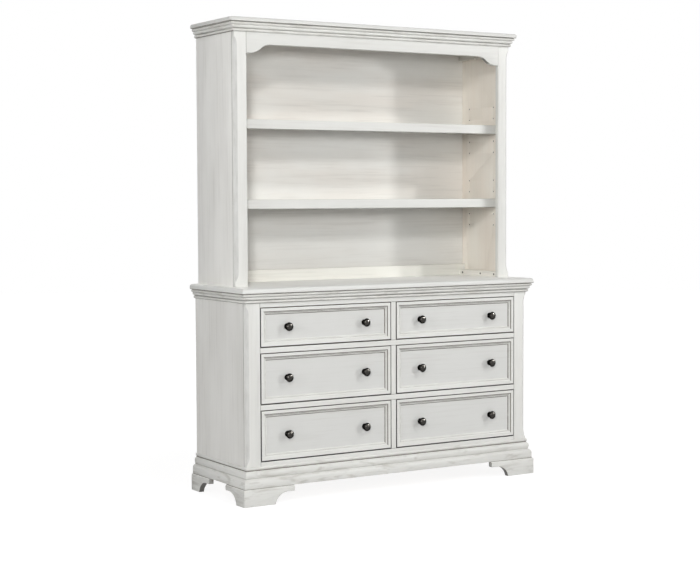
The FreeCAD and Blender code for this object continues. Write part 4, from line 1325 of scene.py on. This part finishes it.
@dataclass
class Drawer:
    """A drawer: moulded front, box, bottom and two knobs."""

    row: str
    side: str
    x: Pair
    z: Pair
    face: float = -0.210
    behind: float = -0.190
    lip: float = 0.013
    arris: float = 0.0017
    cove: Pair = (0.006, 0.005)
    bead: float = 0.002
    panel: float = -0.201
    knob_reach: float = 0.183
    dome_radius: float = 0.0126
    dome_from: float = 0.022
    screw_from: float = 0.003

    def name(self) -> str:
        """Name of its body."""
        return "drawer_%s_%s" % (self.row, self.side)

    def ring(self, at: Vector) -> tuple[float, str]:
        """How far a spot is in from the edge of the front, in millimetres, and from which edge.

        Args:
            at: the spot.

        Returns:
            The distance and the edge.
        """
        away = {"left": at.x - self.x[0], "right": self.x[1] - at.x,
                "bottom": at.z - self.z[0], "top": self.z[1] - at.z}
        edge = min(away, key=away.get)
        return away[edge] * 1000, edge

    def within(self, low: float, high: float, *edges: str) -> Callable[[Vector, Vector], bool]:
        """A test for the faces in a ring of the front.

        Args:
            low: its outer distance from the edge, in millimetres.
            high: its inner distance.
            edges: the edges that it counts along; all when none is given.

        Returns:
            The test.
        """
        def test(at: Vector, out: Vector) -> bool:
            """Whether a face is in the ring."""
            away, edge = self.ring(at)
            return low <= away <= high and at.y < self.behind - 0.001 and edge in (edges or (edge,))

        return test

    def section(self) -> list[Pair]:
        """The front's steps, across and back: arris, lip, quirk, cove, bead, slope and panel.

        Returns:
            The steps.
        """
        wide, deep = self.cove
        return [
            (self.arris, 0.0),
            (self.lip - self.arris, 0.0),
            (0.0, 0.0015),
            *curved(6, 15, lambda turn: (wide * math.sin(turn), deep * (1 - math.cos(turn)))),
            (0.001, 0.0),
            *curved(8, 22.5, lambda turn: (self.bead * (1 - math.cos(turn)),
                                           -self.bead * math.sin(turn))),
            (0.002, 0.0025),
            (0.002, 0.0),
            (0.006, 0.0),
        ]

    def front(self) -> Mesh:
        """The moulded front, sunk step by step from its lip to its panel.

        Returns:
            The dressed front.
        """
        obj = Bench.block(self.name() + "_moulded", (self.x[0], self.face, self.z[0]),
                          (self.x[1], self.behind, self.z[1]))
        with Bench.editing(obj):
            Bench.pick_faces(obj, lambda middle, normal: normal.y < -0.9)
            for across, deep in self.section():
                if across:
                    bpy.ops.mesh.inset(thickness=across, depth=-deep)
                else:
                    bpy.ops.mesh.extrude_region_move(
                        TRANSFORM_OT_translate={"value": (0, deep, 0)})
        Bench.soften(obj, 0.0006, sharp=40)
        # Painted shade around the front: its edges in the gap and a narrow border along its left and
        # bottom edges nearly black, its outer edge a little darker all round, and the top and right
        # slopes, which face away from the light, greyer and with darker glaze lines. The panel is a
        # greyer tone.
        near, far = ("top", "right"), ("left", "bottom")
        coats = (
            Coat("gap", 0.97, lambda at, out: self.ring(at)[0] < 0.65 and out.y > -0.8),
            Coat("gap", 0.97, self.within(-1.0, 0.65, *far)),
            Coat("gap", 0.95, self.within(0.65, 1.65, *far)),
            Coat("gap", 0.3, lambda at, out: self.ring(at)[0] < 0.65),
            Coat("veil_and_shade", 1.0, self.within(29.0, 999.0)),
            Coat("veil_and_shade", 0.5, self.within(13.5, 29.0, *near)),
            Coat("glaze", 1.0, self.within(12.6, 16.6, *near)),
            Coat("glaze", 0.3, self.within(12.6, 14.5, *far)),
            Coat("glaze", 0.75, self.within(18.4, 20.3, "top")),
            Coat("glaze", 1.0, self.within(23.6, 26.2, "top")),
            Coat("glaze", 0.85, self.within(23.6, 25.4, "right")),
            Coat("glaze", 0.33, self.within(23.6, 25.4, *far)),
            Coat("glaze", 0.5, self.within(26.2, 28.2, "top")),
        )
        return dress(obj, self.name(), PAINT_ACROSS, [self.name() + "_front"], coats,
                     corner_glaze_and_shade=0.25)

    def knobs(self) -> None:
        """Two turned knobs and the screws that hold them from inside."""
        middle, level = sum(self.x) / 2, sum(self.z) / 2
        places = [middle - self.knob_reach, middle + self.knob_reach]
        knobs = [Bench.turned("knob", (x, self.panel, level), KNOB_PROFILE) for x in places]

        def rim(at: Vector, out: Vector) -> bool:
            """All of a knob but its domed face."""
            radius = min(math.hypot(at.x - x, at.z - level) for x in places)
            return radius > self.dome_radius or at.y > self.panel - self.dome_from

        dress(Bench.joined(self.name() + "_turned_knobs", knobs), self.name(), BRONZE,
              [self.name() + "_knobs"], [Coat("gap", 1.0, rim)])
        inside = self.behind + self.screw_from
        screws = [Bench.turned("screw", (x, inside, level), SCREW_PROFILE, 20) for x in places]
        dress(Bench.joined(self.name() + "_knob_screws", screws), self.name(), STEEL, [])

    def build(self) -> None:
        """The whole drawer."""
        self.front()
        self.knobs()
        refinish(self.name() + "_box", WOOD_DEEP)
        refinish(self.name() + "_bottom", WOOD_ACROSS)


# ---- hutch -----------------------------------------------------------------------------------


@dataclass
class Hutch:
    """The open upper case and its two shelves."""

    half: float = 0.682
    face: float = -0.102
    low: float = 0.864
    high: float = 1.919
    inner: float = 0.664
    thick: float = 0.020
    rail: Pair = (0.198, 0.218)
    rail_high: float = 0.914
    panel: Pair = (0.218, 0.230)
    bay: float = 1.19
    shelf_half: float = 0.663
    lip: Pair = (-0.052, -0.032)
    plank_back: float = 0.217
    plank_thick: float = 0.015
    shelves: tuple[Pair, ...] = ((1.1748, 1.2128), (1.4998, 1.5378))

    def shelf(self, body: str, node: str, low: float, high: float) -> None:
        """One shelf: a board with a deep lip.

        Args:
            body: the body it rides on.
            node: its node.
            low: underside of its lip.
            high: its upper face.
        """
        half, (front, joint) = self.shelf_half, self.lip
        plank = Bench.board("plank", (-half, joint, high - self.plank_thick),
                            (half, self.plank_back, high))
        lip = Bench.board("lip", (-half, front, low), (half, joint, high), ease=0.0015)

        def under(at: Vector, out: Vector) -> bool:
            """The underside and the back of the lip."""
            return out.z < -0.9 or at.y > joint - MM and at.z < high - self.plank_thick + MM

        # The undersides and the back of the lip are painted dark: painted shade under the shelf.
        coats = (
            Coat("glaze", 0.8, lambda at, out: abs(at.x) > half - EASED),
            Coat("gap", 0.75, under),
        )
        dress(Bench.joined(body + "_board", [lip, plank]), body, PAINT_SHELF, [node], coats)

    def arch(self) -> None:
        """The arched rail, whose lower edge rises in a double curve from each end."""
        end, shoulder, halfway, inner = 0.627, 0.610, 0.562, 0.514
        low, middle, high = -0.121, -0.103, -0.085
        plane = Plane((0, self.face, self.high), (1, 0, 0), (0, 0, 1))
        rail = Bench.draw("arched_rail", plane, (-end, 0.0), [
            (-end, low),
            (-shoulder, low),
            Arc((-halfway, middle), 1, across=-shoulder),
            Arc((-inner, high), -1, across=-inner),
            (inner, high),
            Arc((halfway, middle), -1, across=inner),
            Arc((shoulder, low), 1, across=shoulder),
            (end, low),
            (end, 0.0),
        ])
        Bench.pull(rail, (0, self.thick, 0))
        Bench.soften(rail, 0.0008)
        # The back and the sloping underside of the rail are painted dark: painted shade in the top bay.
        coats = (
            Coat("glaze", 1.0, lambda at, out: at.x < -end + EASED),
            Coat("glaze", 0.2, lambda at, out: at.x > end - EASED),
            Coat("gap", 0.7, lambda at, out: out.y > 0.9 or -0.9 < out.z < -0.3),
        )
        dress(rail, "case", PAINT_SHELF, ["hutch_arch_rail"], coats)

    def sunk(self, at: Vector, out: Vector) -> bool:
        """Whether a face of a cleat is in a counterbore, away from the levels of its own faces.

        Args:
            at: the face's middle.
            out: its normal.

        Returns:
            Whether it is sunk.
        """
        faces = ((at.z, (0.864, 0.888, 1.843, 1.872)), (abs(at.x), (0.634, 0.644, 0.664)),
                 (at.y, (-0.082, 0.098, 0.198, 0.218)))
        return all(abs(place - level) > 0.0008 for place, levels in faces for level in levels)

    def side(self, side: str) -> None:
        """One side board with its rows of pin holes.

        Args:
            side: left or right.
        """
        node = "hutch_side_" + side
        board = Bench.soften(Bench.from_node("side_board_" + side, node), 0.0005)
        skin = 0.0015

        def bored(at: Vector, out: Vector) -> bool:
            """Whether a face is inside a hole, well within the board."""
            deep = self.face + self.thick + RIM < at.y < self.panel[0] - RIM
            level = self.low + RIM < at.z < self.high - RIM
            wall = self.inner + skin < abs(at.x) < self.half - skin
            return deep and level and (abs(out.x) < 0.95 or wall)

        # The faces inside the pin holes are painted nearly black: painted shade in the holes.
        dress(board, "case", PAINT_HUTCH_SIDE, [node], [Coat("gap", 0.97, bored)])
        # The inner faces take the lighter, warmer wall paint: painted light inside the hutch.
        board.data.materials.append(PAINT_WALL)
        for face in board.data.polygons:
            if abs(face.center.x) < self.inner + 0.0005 and abs(face.normal.x) > 0.9:
                face.material_index = 1

    def build(self) -> None:
        """All pieces of the hutch."""
        Slab("crown_slab", "crown_top", 0.708, -0.128, self.high, thick=0.018, upper=0.008,
             lower=0.003, finish=PAINT_CROWN).build()
        Moulding("crown_cornice", "crown_moulding", self.half, self.face, self.high,
                 crown_section(), CROWN_GROOVES, CROWN_SIDE_GROOVES).build()
        Post(("stile_left", "stile_right"), ("hutch_stile_left", "hutch_stile_right"), self.half,
             self.face, width=0.055, low=self.low, high=self.high, stop_low=0.020,
             stop_high=0.055, joined_from=self.high - 0.121, seams=(0.5, 0.1)).build()
        self.arch()
        for where, level in zip(("lower", "upper"), self.shelves):
            self.shelf("shelf_" + where, "hutch_shelf_" + where, *level)
        rail = Bench.board("foot_rail", (-self.inner, self.rail[0], self.low),
                           (self.inner, self.rail[1], self.rail_high))
        dress(rail, "case", PAINT_RAIL, ["hutch_rear_rail"])
        for side in ("left", "right"):
            self.side(side)
        back = Bench.board("back_panel", (-self.inner, self.panel[0], self.low),
                           (self.inner, self.panel[1], self.high))
        # The panel is scored at the lower bay, and below that line it is painted greyer: painted shade
        # low in the hutch.
        Bench.score(back, self.bay)
        dress(back, "case", PAINT_INSIDE, ["hutch_back"],
              [Coat("veil_and_shade", 0.45, lambda at, out: at.z < self.bay)])
        # The ceiling is painted dark grey: painted shade in the top bay.
        refinish("hutch_ceiling", PAINT_CEILING_SHADE)
        cleats = Bench.soften(Bench.from_node("cleats", "hutch_cleats"), 0.0006)
        # The faces inside the counterbores are painted dark: painted shade in the holes.
        dress(cleats, "case", PAINT_CLEAT, ["hutch_cleats"], [Coat("gap", 0.9, self.sunk)])
        refinish("shelf_pins", STEEL)
        refinish("hutch_screws", DARK_STEEL)


# ---- studio ----------------------------------------------------------------------------------


@dataclass
class Studio:
    """Camera, lamps, floor and the pale world round them."""

    aim: Triple = (0, 0, 0.95)
    camera_at: Triple = (-3.55518, -5.61707, 1.21669)
    heading: float = 31.725
    pitch: float = -3.078
    roll: float = 0.241
    lens: float = 79.981

    def camera(self) -> None:
        """The camera, level but for its small pitch and roll."""
        turn, tip, lean = (math.radians(v) for v in (self.heading, self.pitch, self.roll))
        flat = Vector((math.sin(turn), math.cos(turn), 0))
        ahead = flat * math.cos(tip) + Vector((0, 0, math.sin(tip)))
        right = Vector((ahead.y, -ahead.x, 0)).normalized()
        up = right.cross(ahead)
        x = right * math.cos(lean) - up * math.sin(lean)
        y = right * math.sin(lean) + up * math.cos(lean)
        data = bpy.data.cameras.new("view")
        data.lens = self.lens
        data.sensor_width = 36.0
        camera = bpy.data.objects.new("view", data)
        bpy.context.collection.objects.link(camera)
        facing = Matrix((x, y, -ahead)).transposed().to_4x4()
        camera.matrix_world = Matrix.Translation(self.camera_at) @ facing
        bpy.context.scene.camera = camera

    def lamp(self, name: str, azimuth: float, height: float, size: float, level: float,
             distance: float = 7.0, lit: Sequence[Mesh] = ()) -> None:
        """A soft lamp aimed at the middle of the object.

        Args:
            name: its name.
            azimuth: degrees to the right of straight in front.
            height: degrees above the horizon.
            size: its width.
            level: brightness of a white surface that faces it at the middle.
            distance: how far away.
            lit: the pieces that it lights; all of them when none is given.
        """
        middle = Vector(self.aim)
        turn, rise = math.radians(azimuth), math.radians(height)
        way = Vector((math.sin(turn) * math.cos(rise), -math.cos(turn) * math.cos(rise),
                      math.sin(rise)))
        bpy.ops.object.light_add(type="AREA", location=middle + way * distance)
        lamp = bpy.context.object
        lamp.name = name
        lamp.data.size = size
        lamp.data.energy = level * (math.pi * distance) ** 2
        if lit:
            lamp.light_linking.receiver_collection = bpy.data.collections.new(name)
            for piece in lit:
                lamp.light_linking.receiver_collection.objects.link(piece)
        lamp.rotation_euler = way.to_track_quat("Z", "Y").to_euler()

    def seen(self, shader: Shader) -> Signal:
        """1 where the camera, a reflection or glass sees the surface.

        Args:
            shader: the node tree.

        Returns:
            The switch.
        """
        path = [shader.node("ShaderNodeLightPath", out=name)
                for name in ("Is Camera Ray", "Is Glossy Ray", "Is Transmission Ray")]
        return path[0].most(path[1]).most(path[2])

    def floor(self) -> None:
        """A pale floor that keeps the object's shadow."""
        bpy.ops.mesh.primitive_circle_add(vertices=64, radius=14.0, fill_type="NGON")
        floor = bpy.context.object
        floor.name = "floor"
        shader = Shader("pale_floor")
        seen = self.seen(shader)
        tone = shader.blend(seen, srgb(215, 215, 215), srgb(130, 130, 130))
        bounce = shader.node("ShaderNodeBsdfDiffuse", None, {"Color": tone})
        away = shader.node("ShaderNodeVectorMath", {"operation": "LENGTH"}, {0: shader.place()}, "Value")
        glow = shader.node("ShaderNodeEmission", None, {
            "Color": (1, 1, 1, 1), "Strength": seen * (0.90 + 0.1 * shader.step(away, 0.9, 2.6))})
        both = shader.node("ShaderNodeAddShader", None, {0: bounce, 1: glow})
        shader.node("ShaderNodeOutputMaterial", None, {"Surface": both})
        floor.data.materials.append(shader.material)

    def world(self) -> None:
        """A grey sky for light, seen as white."""
        world = bpy.data.worlds.new("studio")
        world.use_nodes = True
        bpy.context.scene.world = world
        shader = Shader.__new__(Shader)
        shader.tree = world.node_tree
        shader.tree.nodes.clear()
        strength = 0.12 + self.seen(shader) * 0.88
        sky = shader.node("ShaderNodeBackground", None, {"Color": (1, 1, 1, 1), "Strength": strength})
        shader.node("ShaderNodeOutputWorld", None, {"Surface": sky})

    def build(self) -> None:
        """The whole studio."""
        self.camera()
        self.floor()
        self.world()
        self.lamp("key", 42.0, 38.0, 0.35, 0.23, 5.0)
        self.lamp("left", -36.0, 24.0, 0.6, 0.26)
        self.lamp("front", -36.0, 7.0, 0.7, 0.185)
        self.lamp("side", -70.0, 8.5, 0.6, 0.18)
        self.lamp("fill", 50.0, 8.0, 0.6, 0.24)
        self.lamp("over", 0.0, 60.0, 2.4, 0.09)
        self.lamp("rear", 178.0, 25.0, 3.0, 0.16)
        knobs = [obj for obj in bpy.data.objects if obj.name.endswith("_turned_knobs")]
        self.lamp("glint", 82.0, 24.0, 0.7, 3.2, lit=knobs)
        bpy.context.scene.view_settings.view_transform = "Standard"
        log.info("studio set")


def main() -> None:
    """Build and dress every sub-assembly, then the studio."""
    case = DresserCase()
    case.build()
    BracketFeet().build()
    for drawer in case.drawers():
        drawer.build()
    Hutch().build()
    Studio().build()


if __name__ == "__main__":
    main()
